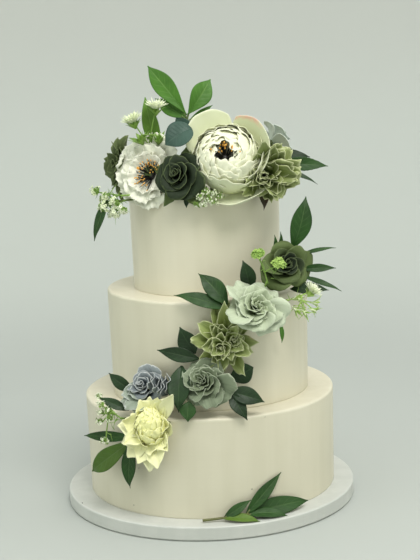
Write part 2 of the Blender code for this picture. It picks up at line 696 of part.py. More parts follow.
def dress_cake(collection, cutters, blockers):
    """Adds flowers, leaves and sprays. Each keeps clear of the cake and of the pieces before it."""
    for name, flower in FLOWERS.items():
        solid = add_flower(name, flower, collection)
        carve(solid, blockers)
        paint(solid, flower.colour, 0.8)
        blockers.append(add_hull(solid, cutters, GAP))
    sprigs = {name: add_sprig(name, sprig, collection) for name, sprig in SPRIGS.items()}
    sprigs["sprig_on_drum"] = add_base_sprig(collection)
    for name, solid in sprigs.items():
        carve(solid, blockers)
        paint(solid, SPRIGS[name].colour if name in SPRIGS else LEAF_GREEN, 0.45)
        blockers.append(add_thick_copy(solid, cutters, GAP))
    for name, spray in SPRAYS.items():
        solid = add_spray(name, spray, collection)
        carve(solid, blockers)
        paint(solid, spray.colour, 0.7)
        blockers.append(add_hull(solid, cutters, GAP))


def main():
    clear_scene()
    collection = new_collection("tiered_cake")
    cutters = new_collection("cutters")
    add_drum(collection)
    blockers = add_tiers(collection, cutters)
    dress_cake(collection, cutters, blockers)
    for cutter in list(cutters.objects):
        bpy.data.objects.remove(cutter, do_unlink=True)


main()
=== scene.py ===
"""Looks for a three-tier iced cake dressed with silk flowers, laid out as a Blender add-on.

Metres, +Z up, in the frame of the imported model. The front of the cake faces -Y. Places on it are a
bearing round its axis (degrees from the front, positive to the right), a reach from that axis and a
height above the table.
"""

from collections import namedtuple
from math import cos, log, pi, radians, sin

import bpy
import numpy as np
from bpy.props import FloatProperty, FloatVectorProperty, IntProperty, PointerProperty
from mathutils import Matrix, Vector


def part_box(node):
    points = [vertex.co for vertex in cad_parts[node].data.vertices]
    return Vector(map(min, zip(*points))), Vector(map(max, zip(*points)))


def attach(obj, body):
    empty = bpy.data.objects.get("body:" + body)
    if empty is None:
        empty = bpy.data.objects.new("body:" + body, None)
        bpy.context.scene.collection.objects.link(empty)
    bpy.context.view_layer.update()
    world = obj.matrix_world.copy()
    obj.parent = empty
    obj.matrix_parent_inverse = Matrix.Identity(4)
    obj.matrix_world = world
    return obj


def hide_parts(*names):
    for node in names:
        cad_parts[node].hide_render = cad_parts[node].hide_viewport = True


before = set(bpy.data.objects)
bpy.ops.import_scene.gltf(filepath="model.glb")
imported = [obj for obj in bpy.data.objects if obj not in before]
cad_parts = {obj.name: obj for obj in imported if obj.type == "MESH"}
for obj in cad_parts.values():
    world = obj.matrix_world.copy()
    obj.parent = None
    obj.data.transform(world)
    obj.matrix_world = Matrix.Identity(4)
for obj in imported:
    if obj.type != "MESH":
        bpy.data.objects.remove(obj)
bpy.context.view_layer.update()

bl_info = {
    "name": "Tiered cake with silk flowers",
    "version": (1, 0, 0),
    "blender": (4, 5, 0),
    "location": "View3D > Sidebar > Cake",
    "description": "Makes the icing, board, silk flowers, leaves and studio of a tiered cake",
    "category": "Object",
}

BODY = "root"


def srgb(red, green, blue):
    """Linear colour from the 0 to 255 values of a screen colour."""
    channels = np.array((red, green, blue)) / 255.0
    linear = np.where(channels <= 0.04045, channels / 12.92, ((channels + 0.055) / 1.055) ** 2.4)
    return tuple(float(channel) for channel in linear)


def colour_property(name, description, value):
    """A colour setting of the panel."""
    return FloatVectorProperty(
        name=name, description=description, subtype="COLOR", size=3, min=0.0, max=1.0, default=value
    )


def length_property(name, description, value):
    """A length setting of the panel."""
    return FloatProperty(name=name, description=description, default=value, min=0.0, unit="LENGTH")


def power_property(name, description, value):
    """A light's power setting of the panel."""
    return FloatProperty(name=name, description=description, default=value, min=0.0, unit="POWER")


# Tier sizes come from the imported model
TierPlace = namedtuple("TierPlace", "name x y radius bottom top")


def tier_place(name):
    """Axis, radius and heights of a tier, from its node's box."""
    low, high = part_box(name)
    middle = (low[0] + high[0]) / 2, (low[1] + high[1]) / 2
    return TierPlace(name, *middle, (high[0] - low[0]) / 2, low[2], high[2])


TIERS = [tier_place(name) for name in ("tier_bottom", "tier_middle", "tier_top")]
DRUM_LOW, DRUM_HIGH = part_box("cake_drum")
DRUM_RADIUS = (DRUM_HIGH[0] - DRUM_LOW[0]) / 2
DRUM_TOP = DRUM_HIGH[2]

# Added to the seed, so that each kind of piece has random draws of its own
LEAF_SEED = 100
SPRIG_SEED = 200
SPRAY_SEED = 300
ICING_SEED = 400
DRUM_SEED = 500

# Materials of a piece by their order: petals, blades or florets, then green parts, filaments, anthers
CLOTH, STALK, FILAMENT, ANTHER = range(4)

# Tints: how far out in its flower a part counts as, its random share and its share of special colour
PLAIN = (0.5, 0.5, 0.0)
FLUFFY = (0.7, 0.5, 0.0)
GREEN = (0.9, 0.5, 0.0)
BLUSHED = (1.0, 0.5, 1.0)

# The turn from each petal of a spiral to the next, in degrees and, for balls of florets, in radians
GOLDEN_ANGLE = 137.5
GOLDEN_TURN = 2.399963

# Each flower: how its petals are made, face centre (bearing, reach, height), facing (bearing,
# elevation), radius, height as a share of its width, turn about its own axis, slot, and how far its
# heart is shifted right and up
Flower = namedtuple("Flower", "kind centre facing radius stretch turn finish heart", defaults=((0.0, 0.0),))
FLOWERS = {
    "rose_green_top": Flower(
        "rose", (-13.5, 0.0860, 0.3520), (-18, 26), 0.0250, 1.14, 10, "petal_dark_green", (-0.16, 0.0)
    ),
    "peony_cream": Flower(
        "peony", (21.6, 0.0786, 0.3701), (0, 30), 0.0398, 1.03, 0, "petal_cream", (-0.09, -0.13)
    ),
    "anemone_white": Flower(
        "anemone", (-42.0, 0.0834, 0.3556), (-26, 14), 0.0322, 1.05, 0, "petal_white", (0.0, -0.22)
    ),
    "dahlia_green_top": Flower(
        "loose_dahlia", (42.8, 0.1050, 0.3535), (24, 20), 0.0350, 0.74, 12, "petal_olive", (-0.45, -0.30)
    ),
    "rose_grey": Flower("open_rose", (84.5, 0.0834, 0.3819), (105, 38), 0.0235, 0.85, 35, "petal_grey"),
    "dahlia_dusty": Flower(
        "star_dahlia", (-75.5, 0.0900, 0.3590), (-64, 10), 0.0270, 1.0, 0, "petal_dusty"
    ),
    "lisianthus_pale": Flower(
        "ruffled", (22.9, 0.1310, 0.2262), (14, 36), 0.0285, 1.0, 0, "petal_pale_sage", (0.10, -0.10)
    ),
    "rose_green_side": Flower(
        "olive_rose", (46.4, 0.1160, 0.2570), (26, 24), 0.0318, 0.84, 40, "petal_dark_green", (-0.06, 0.06)
    ),
    "dahlia_green_side": Flower(
        "twin_dahlia", (9.2, 0.1240, 0.1918), (6, 8), 0.0276, 1.22, 4, "petal_olive"
    ),
    "rose_sage": Flower(
        "ruffled", (-0.3, 0.1280, 0.1520), (-8, 20), 0.0238, 1.04, 25, "petal_sage", (-0.50, 0.26)
    ),
    "rose_blue": Flower(
        "paged_rose", (-26.5, 0.1260, 0.1500), (-26, 36), 0.0225, 1.0, 0, "petal_blue", (-0.30, -0.06)
    ),
    "dahlia_cream": Flower(
        "crumpled", (-23.6, 0.1490, 0.1110), (-18, 14), 0.0300, 1.22, 0, "petal_yellow", (-0.02, 0.28)
    ),
}

# How far the calyx, a flower's origin, lies behind its face centre, as a share of its radius
CALYX_SHARE = 0.62

# Length and half width of the sepals, in the same shares, and of those that show among the petals
SEPALS = (0.56, 0.17)
LONG_SEPALS = {"rose_green_top": (1.22, 0.28)}

# Radii of stems, how far they end inside the icing, and how far a tier sinks into what carries it
FLOWER_STEM_RADIUS = 0.0030
STEM_RADIUS = 0.0009
STEM_DEPTH = 0.004
TIER_SINK = 0.0006

# Each leaf: base and tip as bearing, reach and height, width, arch, the bearing and elevation that
# its upper face looks towards, where along it is widest, its teeth, how blunt and how pale it is
Leaf = namedtuple("Leaf", "base tip width arch face fullest teeth blunt pale", defaults=(0.46, 0, 0.0, 0.0))
Sprig = namedtuple("Sprig", "finish stemmed leaves")


def one_leaf(finish, *leaf):
    """A sprig of one leaf whose stem doesn't show."""
    return Sprig(finish, False, (Leaf(*leaf),))


SPRIGS = {
    "leaves_crown": Sprig("leaf_light", True, (
        Leaf((-18.0, 0.0355, 0.4060), (-69.6, 0.0515, 0.4571), 0.0210, 0.003, (-10, 10), 0.58),
        Leaf((-16.0, 0.0350, 0.4070), (34.9, 0.0268, 0.4409), 0.0215, 0.003, (5, 5), 0.56),
        Leaf((-20.0, 0.0360, 0.4030), (-58.1, 0.0492, 0.4242), 0.0160, -0.002, (-20, 15), 0.50),
        Leaf((-14.0, 0.0330, 0.4010), (36.7, 0.0274, 0.4148), 0.0065, 0.001, (10, 10)),
    )),
    "leaf_upright": Sprig("leaf_light", True, (
        Leaf((-44.0, 0.0560, 0.3700), (-52.6, 0.0658, 0.4257), 0.0165, 0.002, (-8, 8), 0.5, 0, 0.2, 0.25),
    )),
    "leaf_teal": one_leaf(
        "leaf_teal", (-4.5, 0.0692, 0.3948), (-23.6, 0.0808, 0.3815), 0.0290, 0.002, (-8, 35), 0.44, 0, 0.35
    ),
    "leaf_teal_small": one_leaf(
        "leaf_teal", (-8.0, 0.0460, 0.3860), (-25.7, 0.0488, 0.4045), 0.0170, 0.001, (-20, 10), 0.5, 0, 0.35
    ),
    "leaf_hanging": Sprig("leaf_green", True, (
        Leaf((-55.0, 0.1130, 0.3290), (-57.0, 0.1285, 0.2876), 0.0100, 0.002, (-30, 0)),
    )),
    "leaf_top_right_upper": one_leaf(
        "leaf_dark", (68.0, 0.0830, 0.3620), (73.2, 0.1174, 0.3606), 0.0110, 0.002, (20, 30)
    ),
    "leaf_top_right_broad": one_leaf(
        "leaf_green", (66.0, 0.0880, 0.3560), (71.2, 0.1367, 0.3508), 0.0135, 0.002, (25, 15), 0.50, 11
    ),
    "leaf_top_right_narrow": one_leaf(
        "leaf_dark", (62.0, 0.0900, 0.3500), (67.1, 0.1286, 0.3347), 0.0055, 0.002, (10, 40)
    ),
    "leaf_tip_rose": one_leaf(
        "leaf_dark", (-9.4, 0.0832, 0.3320), (-9.3, 0.0851, 0.3189), 0.0055, 0.000, (-9, 0)
    ),
    "leaf_tip_dahlia": one_leaf(
        "leaf_brown", (46.5, 0.0860, 0.3330), (42.8, 0.0930, 0.3118), 0.0125, 0.001, (30, 0), 0.30
    ),
    "leaf_side_tall": one_leaf(
        "leaf_green", (54.9, 0.1090, 0.2700), (60.6, 0.1222, 0.3222), 0.0215, 0.004, (10, 5), 0.52
    ),
    "leaf_side_tuft_left": one_leaf(
        "leaf_green", (49.0, 0.0950, 0.2600), (48.1, 0.0989, 0.2861), 0.0065, 0.001, (30, 0)
    ),
    "leaf_side_tuft_right": one_leaf(
        "leaf_green", (53.2, 0.0950, 0.2600), (52.2, 0.1011, 0.2883), 0.0065, 0.001, (30, 0)
    ),
    "leaf_rose_left": one_leaf(
        "leaf_dark", (28.0, 0.1010, 0.2360), (23.6, 0.0990, 0.2655), 0.0170, 0.001, (20, 0)
    ),
    "leaf_side_thin": one_leaf(
        "leaf_green", (59.0, 0.1140, 0.2640), (65.9, 0.1471, 0.2707), 0.0045, 0.002, (10, 40)
    ),
    "leaf_side_right_upper": one_leaf(
        "leaf_green", (57.0, 0.1180, 0.2500), (63.7, 0.1487, 0.2507), 0.0085, 0.002, (20, 20)
    ),
    "leaf_side_right_lower": one_leaf(
        "leaf_green", (57.0, 0.1180, 0.2440), (61.7, 0.1563, 0.2286), 0.0060, 0.002, (20, 30)
    ),
    "leaf_rose_below": one_leaf(
        "leaf_dark", (48.0, 0.1160, 0.2330), (55.9, 0.1499, 0.2322), 0.0130, 0.002, (20, 30)
    ),
    "leaf_middle_up": one_leaf(
        "leaf_green", (11.2, 0.1142, 0.2260), (-2.3, 0.0981, 0.2568), 0.0195, 0.002, (10, 25)
    ),
    "leaf_middle_left": one_leaf(
        "leaf_green", (10.6, 0.1148, 0.2220), (-15.1, 0.1115, 0.2383), 0.0145, 0.003, (-5, 40)
    ),
    "leaf_hang_small": one_leaf(
        "leaf_light", (38.8, 0.1180, 0.2030), (40.3, 0.1180, 0.1808), 0.0050, 0.001, (30, 0)
    ),
    "leaf_dahlia_up": one_leaf(
        "leaf_dark", (-5.0, 0.1122, 0.1790), (-13.0, 0.1128, 0.2049), 0.0205, 0.001, (-15, 0)
    ),
    "leaf_dahlia_left": one_leaf(
        "leaf_dark", (-3.4, 0.1150, 0.1740), (-24.1, 0.1181, 0.1828), 0.0145, 0.001, (-10, 15)
    ),
    "leaf_dahlia_right": one_leaf(
        "leaf_dark", (11.0, 0.1146, 0.1520), (23.1, 0.1175, 0.1615), 0.0220, 0.001, (18, 0), 0.55, 0, 0.2
    ),
    "leaves_sage_right": Sprig("leaf_dark", False, (
        Leaf((10.1, 0.1230, 0.1430), (23.7, 0.1376, 0.1310), 0.0185, 0.002, (14, 25)),
        Leaf((10.3, 0.1240, 0.1420), (15.7, 0.1390, 0.1156), 0.0150, 0.002, (10, 15)),
    )),
    "leaf_between": one_leaf(
        "leaf_dark", (-12.1, 0.1140, 0.1668), (-12.3, 0.1372, 0.1265), 0.0230, 0.003, (-12, 30)
    ),
    "leaf_sage_below": one_leaf(
        "leaf_green", (-8.0, 0.1300, 0.1350), (-8.5, 0.1380, 0.1170), 0.0165, 0.001, (-8, 20)
    ),
    "leaf_blue_left": one_leaf(
        "leaf_dark", (-37.0, 0.1220, 0.1400), (-48.3, 0.1323, 0.1562), 0.0130, 0.002, (-30, 20)
    ),
    "leaf_behind_spray": one_leaf(
        "leaf_dark", (-35.0, 0.1360, 0.1240), (-46.2, 0.1504, 0.1361), 0.0100, 0.001, (-30, 40)
    ),
    "leaves_fan": Sprig("leaf_green", True, (
        Leaf((-31.6, 0.1415, 0.0995), (-58.9, 0.1509, 0.0899), 0.0110, 0.002, (-30, 25)),
        Leaf((-31.8, 0.1415, 0.0970), (-54.2, 0.1505, 0.0539), 0.0205, 0.003, (-35, 5), 0.58, 0, 0.1, 0.3),
        Leaf((-32.2, 0.1420, 0.0960), (-35.2, 0.1419, 0.0443), 0.0165, 0.003, (-30, 0)),
    )),
}

# How far a twig runs into its blade, as a share of it, and how far below the leaves the twigs meet
STEM_INTO_LEAF = 0.12
STEM_FORK = 0.004

# The loose sprig that lies on the drum against the bottom tier, stem end to last node
SPRIG_STEM = ((-3.9, 0.1400, 0.0172), (3.5, 0.1385, 0.0180), (15.1, 0.1375, 0.0195))
SPRIG_LEAVES = (
    Leaf((4.5, 0.1384, 0.0182), (16.6, 0.1365, 0.0335), 0.0100, 0.001, (8, 35)),
    Leaf((13.8, 0.1376, 0.0192), (31.5, 0.1345, 0.0555), 0.0125, 0.001, (20, 30)),
    Leaf((15.1, 0.1378, 0.0185), (43.5, 0.1420, 0.0225), 0.0190, 0.002, (26, 34), 0.46, 0, 0.15),
    Leaf((14.5, 0.1376, 0.0193), (30.0, 0.1490, 0.0165), 0.0125, 0.002, (20, 55), 0.46, 0, 0.2),
    Leaf((4.0, 0.1385, 0.0181), (18.2, 0.1500, 0.0160), 0.0105, 0.002, (10, 60), 0.46, 0, 0.2, 0.5),
)

# Each filler spray: the form of its heads, slot, finish that it looks like, root and heads as bearing,
# reach and height, head radius, and florets to a head, their size and the needles to a head
Spray = namedtuple("Spray", "form finish look root heads head_radius florets floret needles")
SPRAYS = {
    "filler_buds": Spray("thistle", "filler_white", "filler_white", (-45.0, 0.0620, 0.3700), (
        (-52.3, 0.0818, 0.4046), (-38.9, 0.0643, 0.4175), (-48.8, 0.0789, 0.3900), (-35.8, 0.0641, 0.3900),
    ), 0.0082, 0, 0.0, 0),
    "filler_left": Spray("blossom", "filler_white", "filler_white", (-52.6, 0.0956, 0.3300), (
        (-59.0, 0.1205, 0.3355), (-55.5, 0.1164, 0.3197), (-52.6, 0.1086, 0.3133), (-49.8, 0.1023, 0.3170),
        (-56.5, 0.1130, 0.3290), (-53.0, 0.1080, 0.3240),
    ), 0.0060, 24, 0.0018, 9),
    "filler_centre": Spray("blossom", "filler_white", "filler_white", (4.4, 0.0830, 0.3393), (
        (5.1, 0.0920, 0.3270), (0.1, 0.0930, 0.3300), (8.9, 0.0910, 0.3335), (-1.8, 0.0910, 0.3225),
        (3.6, 0.0925, 0.3345), (12.0, 0.0905, 0.3300), (8.2, 0.0925, 0.3235), (2.0, 0.0925, 0.3225),
    ), 0.0046, 14, 0.0010, 2),
    "filler_blooms": Spray("umbel", "filler_green", "filler_green", (31.2, 0.1216, 0.2438), (
        (25.7, 0.1243, 0.2731), (33.1, 0.1337, 0.2636),
    ), 0.0066, 46, 0.0019, 4),
    "filler_right": Spray("tuft", "filler_green", "filler_white", (43.0, 0.1190, 0.2226), (
        (49.4, 0.1415, 0.2335), (45.8, 0.1320, 0.2273), (50.7, 0.1452, 0.2205), (50.1, 0.1435, 0.2125),
        (47.3, 0.1387, 0.2100), (44.1, 0.1324, 0.2129),
    ), 0.0056, 0, 0.0, 4),
    "filler_low": Spray("blossom", "filler_white", "filler_white", (-36.0, 0.1440, 0.1160), (
        (-43.8, 0.1520, 0.1295), (-46.4, 0.1485, 0.1360), (-41.2, 0.1500, 0.1240), (-44.2, 0.1515, 0.1211),
        (-40.4, 0.1498, 0.1160), (-44.8, 0.1515, 0.1120), (-43.3, 0.1510, 0.0930),
    ), 0.0050, 11, 0.0015, 5),
}

# Sizes of the sprays: thickness of narrow leaves and of florets, radius of the stalks and how far their
# stems bow sideways, radius of the needles and how far these keep off the icing
FILLER_THICKNESS = 0.00022
FLORET_THICKNESS = 0.00016
STALK_RADIUS = 0.00022
STALK_BOW = 0.0015
NEEDLE_RADIUS = 0.00042
NEEDLE_GAP = 0.0004

# Icing: height of the bands in a tier's wall and of the waves of its edge, depth of the smears on the
# drum and of the waves of its side, and the step at its foot, inwards and up
WALL_WAVE = 0.00020
EDGE_WAVE = 0.00024
DRUM_SMEAR = 0.00022
DRUM_WAVE = 0.00012
DRUM_STEP = 0.0011
DRUM_FOOT = 0.0012

# Camera that the photograph was matched with: place, angles in radians, lens and sensor in millimetres
CAMERA_PLACE = (0.006613, -1.440843, 0.493173)
CAMERA_PITCH = 0.180
CAMERA_ROLL = 0.038
CAMERA_LENS = 89.554
CAMERA_SENSOR = 36.0


def smoothstep(share):
    """Zero below 0, one above 1, and an S curve between."""
    share = np.clip(share, 0.0, 1.0)
    return share * share * (3.0 - 2.0 * share)


def around(bearing, reach, height):
    """Points at these bearings round the cake's axis, reaches from it, and heights."""
    angle = np.radians(bearing)
    return np.stack(np.broadcast_arrays(reach * np.sin(angle), -reach * np.cos(angle), height), axis=-1)


def towards(bearing, elevation):
    """The unit direction that looks out at this bearing and elevation."""
    rise = radians(elevation)
    return around(bearing, cos(rise), sin(rise))


def unit(vectors):
    """The vectors at length one."""
    return vectors / (np.linalg.norm(vectors, axis=-1, keepdims=True) + 1e-12)


def even_turns(count):
    """Angles spread evenly round a circle, in radians."""
    return 2 * pi * np.arange(count) / count


def dice(settings, offset):
    """Random draws that stay the same for a piece."""
    return np.random.default_rng(settings.seed + offset)


def clear_of_icing(points, margin):
    """Moves each point that is inside a tier or the drum straight out, sideways or up, whichever is
    less, so that a petal or leaf lies against the icing instead of going into it."""
    points = points.copy()
    for tier in TIERS:
        flat = points[..., :2] - (tier.x, tier.y)
        reach = np.linalg.norm(flat, axis=-1)
        sideways = tier.radius + margin - reach
        upward = tier.top + margin - points[..., 2]
        inside = (sideways > 0) & (upward > 0) & (points[..., 2] > tier.bottom - margin)
        out = inside & (sideways <= upward)
        up = inside & (sideways > upward)
        scale = np.where(out, (tier.radius + margin) / np.maximum(reach, 1e-6), 1.0)
        points[..., :2] = (tier.x, tier.y) + flat * scale[..., None]
        points[..., 2] = np.where(up, tier.top + margin, points[..., 2])
    points[..., 2] = np.maximum(points[..., 2], DRUM_TOP + margin)
    return points


def nearest_icing(point):
    """The point a little way inside the icing that is nearest to this one."""
    found = []
    for tier in TIERS:
        flat = np.array((point[0] - tier.x, point[1] - tier.y))
        distance = np.linalg.norm(flat)
        reach = min(distance, tier.radius - STEM_DEPTH)
        x, y = flat / distance * reach
        height = min(max(point[2], tier.bottom + STEM_DEPTH), tier.top - STEM_DEPTH)
        found.append(np.array((x + tier.x, y + tier.y, height)))
    return min(found, key=lambda place: np.linalg.norm(place - point))


def ring_faces(rows, columns):
    """Faces on rings of points that are numbered row by row: those between the rings, a fan from the
    point after them to the first ring, and a fan from the last ring to the next point."""
    index = np.arange(rows * columns).reshape(rows, columns)
    following = np.roll(index, -1, axis=1)
    walls = np.stack((index[:-1], index[1:], following[1:], following[:-1]), axis=-1).reshape(-1, 4)
    pole = np.full(columns, rows * columns)
    cap = np.stack((pole, index[0], following[0]), axis=-1)
    foot = np.stack((pole + 1, following[-1], index[-1]), axis=-1)
    return walls, cap, foot


def turned_rings(reach, level, turn, x=0.0, y=0.0):
    """Rings of points at these reaches and turns round an upright axis, and at these levels."""
    return np.stack(np.broadcast_arrays(x + reach * np.cos(turn), y + reach * np.sin(turn), level), axis=-1)


class PieceMesh:
    """Gathers thin shells, tubes and turned forms into one mesh, with a UV map (across, along), a
    point attribute "tint" (how far out, a random share, a special share) and a finish per face."""

    def __init__(self):
        self.points = []
        self.uvs = []
        self.tints = []
        self.faces = []
        self.finishes = []
        self.smooth = []
        self.count = 0

    def keep(self, points, uv, tint, faces, finish, smooth=None):
        """Adds points and the faces between them, numbered from the first of them. Faces are shaded
        smooth unless told otherwise."""
        self.points.append(points.reshape(-1, 3))
        self.uvs.append(uv.reshape(-1, 2))
        self.tints.append(tint.reshape(-1, 3))
        for part in faces:
            shifted = (np.asarray(part) + self.count).tolist()
            self.faces.extend(shifted)
            self.finishes.extend([finish] * len(shifted))
        self.count += points.reshape(-1, 3).shape[0]
        added = len(self.faces) - len(self.smooth)
        self.smooth.extend([True] * added if smooth is None else smooth.tolist())

    def add_sheets(self, grids, thickness, tint=PLAIN, finish=CLOTH):
        """Closed thin shells from sheets. Each grid (sheets, rows, columns, 3) is copied half a
        thickness up and down its normals, and the two copies are joined round their edges."""
        sheets, rows, columns, _ = grids.shape
        normals = unit(np.cross(np.gradient(grids, axis=1), np.gradient(grids, axis=2)))
        half = normals * (thickness / 2)
        points = np.stack((grids + half, grids - half), axis=1)
        across, along = np.meshgrid(np.linspace(0, 1, columns), np.linspace(0, 1, rows))
        uv = np.broadcast_to(np.stack((across, along), axis=-1), (sheets, 2, rows, columns, 2))
        tint = np.asarray(tint, float).reshape(-1, 1, 1, 1, 3)
        tint = np.broadcast_to(tint, (sheets, 2, rows, columns, 3))
        index = np.arange(rows * columns).reshape(rows, columns)
        a, b, c, d = index[:-1, :-1], index[:-1, 1:], index[1:, 1:], index[1:, :-1]
        upper = np.stack((a, d, c, b), axis=-1).reshape(-1, 4)
        lower = np.stack((a, b, c, d), axis=-1).reshape(-1, 4) + rows * columns
        rim = np.concatenate((index[:, 0], index[-1, 1:], index[-2::-1, -1], index[0, -2:0:-1]))
        after = np.roll(rim, -1)
        walls = np.stack((after, rim, rim + rows * columns, after + rows * columns), axis=-1)
        one = np.concatenate((upper, lower, walls))
        starts = (np.arange(sheets) * 2 * rows * columns)[:, None, None]
        smooth = np.tile(np.arange(len(one)) < len(one) - len(walls), sheets)
        self.keep(points, uv, tint, [(one[None] + starts).reshape(-1, 4)], finish, smooth)

    def add_tubes(self, paths, radii, sides, tint=PLAIN, finish=CLOTH):
        """Closed round tubes along paths (tubes, steps, 3). Each ring stands square to its path, at
        the radius given for that step, and the end rings are filled."""
        tubes, steps, _ = paths.shape
        radii = np.broadcast_to(radii, (tubes, steps))
        ahead = unit(np.gradient(paths, axis=1))
        least = np.argmin(np.abs(ahead.mean(axis=1)), axis=1)
        first = unit(np.cross(ahead, np.eye(3)[least][:, None, :]))
        second = np.cross(ahead, first)
        angle = even_turns(sides)
        spoke = (
            np.cos(angle)[None, None, :, None] * first[:, :, None]
            + np.sin(angle)[None, None, :, None] * second[:, :, None]
        )
        points = paths[:, :, None] + spoke * radii[:, :, None, None]
        across, along = np.meshgrid(np.arange(sides) / sides, np.linspace(0, 1, steps))
        uv = np.broadcast_to(np.stack((across, along), axis=-1), (tubes, steps, sides, 2))
        tint = np.broadcast_to(np.asarray(tint, float).reshape(-1, 1, 1, 3), (tubes, steps, sides, 3))
        index = np.arange(steps * sides).reshape(steps, sides)
        following = np.roll(index, -1, axis=1)
        walls = np.stack((index[:-1], following[:-1], following[1:], index[1:]), axis=-1).reshape(-1, 4)
        starts = np.arange(tubes) * steps * sides
        parts = [
            (walls[None] + starts[:, None, None]).reshape(-1, 4),
            index[0][::-1][None] + starts[:, None],
            index[-1][None] + starts[:, None],
        ]
        self.keep(points, uv, tint, parts, finish)

    def add_turned(self, rings, top, bottom, tint=PLAIN, finish=CLOTH):
        """A form turned round an upright axis: rings (rows, columns, 3) from its top centre outwards
        and down to its bottom centre, closed by a fan of triangles at each of the two points."""
        points = np.concatenate((rings.reshape(-1, 3), [top, bottom]))
        tint = np.broadcast_to(np.asarray(tint, float), points.shape)
        self.keep(points, np.zeros((len(points), 2)), tint, ring_faces(*rings.shape[:2]), finish)

    def build(self, name, materials):
        """The mesh as an object at the origin."""
        points = np.concatenate(self.points)
        mesh = bpy.data.meshes.new(name)
        mesh.from_pydata(points, [], self.faces)
        mesh.polygons.foreach_set("material_index", np.array(self.finishes, np.int32))
        mesh.polygons.foreach_set("use_smooth", np.array(self.smooth, bool))
        corner = np.empty(len(mesh.loops), np.int32)
        mesh.loops.foreach_get("vertex_index", corner)
        layer = mesh.uv_layers.new(name="across_along")
        layer.data.foreach_set("uv", np.concatenate(self.uvs)[corner].astype(np.float32).ravel())
        tints = np.concatenate(self.tints)
        attribute = mesh.attributes.new("tint", "FLOAT_COLOR", "POINT")
        full = np.concatenate((tints, np.ones((len(tints), 1))), axis=1)
        attribute.data.foreach_set("color", full.astype(np.float32).ravel())
        for material in materials:
            mesh.materials.append(material)
        mesh.validate()
        mesh.update()
        piece = bpy.data.objects.new(name, mesh)
        bpy.context.scene.collection.objects.link(piece)
        return piece


def place_piece(mesh, node, ending, materials):
    """Builds the piece that stands for a node, named after it, attaches it to the body and hides the node.
    """
    piece = mesh.build(node + ending, materials)
    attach(piece, BODY)
    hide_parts(node)


# Petals


def headed(radial, sideways, axial, heading):
    """Points that lie this far out along a heading from the flower's axis, square to it, and up."""
    return np.stack(np.broadcast_arrays(
        radial * np.cos(heading) - sideways * np.sin(heading),
        radial * np.sin(heading) + sideways * np.cos(heading),
        axial,
    ), axis=-1)


def bent_petals(
    turn, root, rise, length, width, lean_root, lean_tip, rng, curl=0.0, wrap=1.0, span=1.2, fold=0.0,
    dip=0.25, point=2.6, peak=0.7, taper=0.2, base=0.35, frill=0.0, waves=4.0, ragged=0.0, crumple=0.0,
    twist=0.0, rows=15, columns=15,
):
    """Petals as grids (petals, rows, columns, 3), in shares of a flower's radius.

    The midline leaves the root at one lean from the flower's axis and bends evenly to another, with
    a further curl in its last third: its reach and height are the running sums of the lean's sine and
    cosine. The width swells from the base share to full at the peak and tapers past it. The sides
    wrap round the axis on an arc of the local reach. The rim is shorter towards the sides by the
    dip, so it is round, or pointed at a low power, and ragged waves cut into it. Fold, frill, crumple
    and twist lift the surface along its own normal: as the share across, as waves that grow to the
    rim, as crossed waves, and as a slant that grows along the petal."""
    phase = rng.uniform(0, 2 * pi, (5, len(turn), 1, 1))

    def each(value):
        return np.broadcast_to(np.asarray(value, float), len(turn)).reshape(-1, 1, 1)

    across = np.linspace(-1, 1, columns).reshape(1, 1, -1)
    share = np.linspace(0, 1, rows).reshape(1, -1, 1)
    scale = 1 - each(dip) * np.abs(across) ** each(point)
    scale = scale + each(ragged) * (
        np.sin(each(waves) * 2.3 * across + phase[3]) + 0.6 * np.sin(each(waves) * 4.1 * across + phase[4])
    )
    along = share * scale
    lean = np.radians(
        each(lean_root) + (each(lean_tip) - each(lean_root)) * along
        + each(curl) * smoothstep((along - 0.66) / 0.34)
    )
    step = each(length) * scale / (rows - 1)

    def running(rate):
        total = np.zeros_like(rate)
        total[:, 1:] = np.cumsum((rate[:, 1:] + rate[:, :-1]) / 2, axis=1)
        return total * step

    out = each(root) + running(np.sin(lean))
    up = each(rise) + running(np.cos(lean))
    grow = np.sin(pi / 2 * np.minimum(along / each(peak), 1.0))
    fall = np.clip((along - each(peak)) / (1 - each(peak)), 0, 1)
    half = each(width) * (each(base) + (1 - each(base)) * grow) * (1 - each(taper) * fall**2)
    bend = np.maximum(out, 0.02) / each(wrap)
    angle = across * each(span) * np.tanh(half / bend / each(span))
    lift = half * (each(fold) * np.abs(across))
    lift = lift + each(width) * each(frill) * along**2.2 * (
        np.sin(each(waves) * across + phase[0]) + 0.6 * np.sin(each(waves) * 1.9 * across + phase[1])
    )
    lift = lift + each(width) * each(crumple) * along * (
        np.sin(4.6 * across + 7.0 * along + phase[2]) + 0.7 * np.sin(8.3 * across - 5.0 * along + phase[1])
    )
    lift = lift + across * half * np.sin(np.radians(each(twist)) * along)
    outward = -lift * np.cos(lean)
    radial = out - bend * (1 - np.cos(angle)) + outward * np.cos(angle)
    sideways = bend * np.sin(angle) + outward * np.sin(angle)
    return headed(radial, sideways, up + lift * np.sin(lean), each(turn))


def ring_of(count, start, rng, jitter=6.0):
    """Bearings of petals spread evenly round a flower, each off by a random few degrees, in radians."""
    return np.radians(start + 360.0 * np.arange(count) / count + rng.uniform(-jitter, jitter, count))


def vary(rng, value, share, count):
    """The value, off by a random share for each petal."""
    return value * (1 + rng.uniform(-share, share, count))


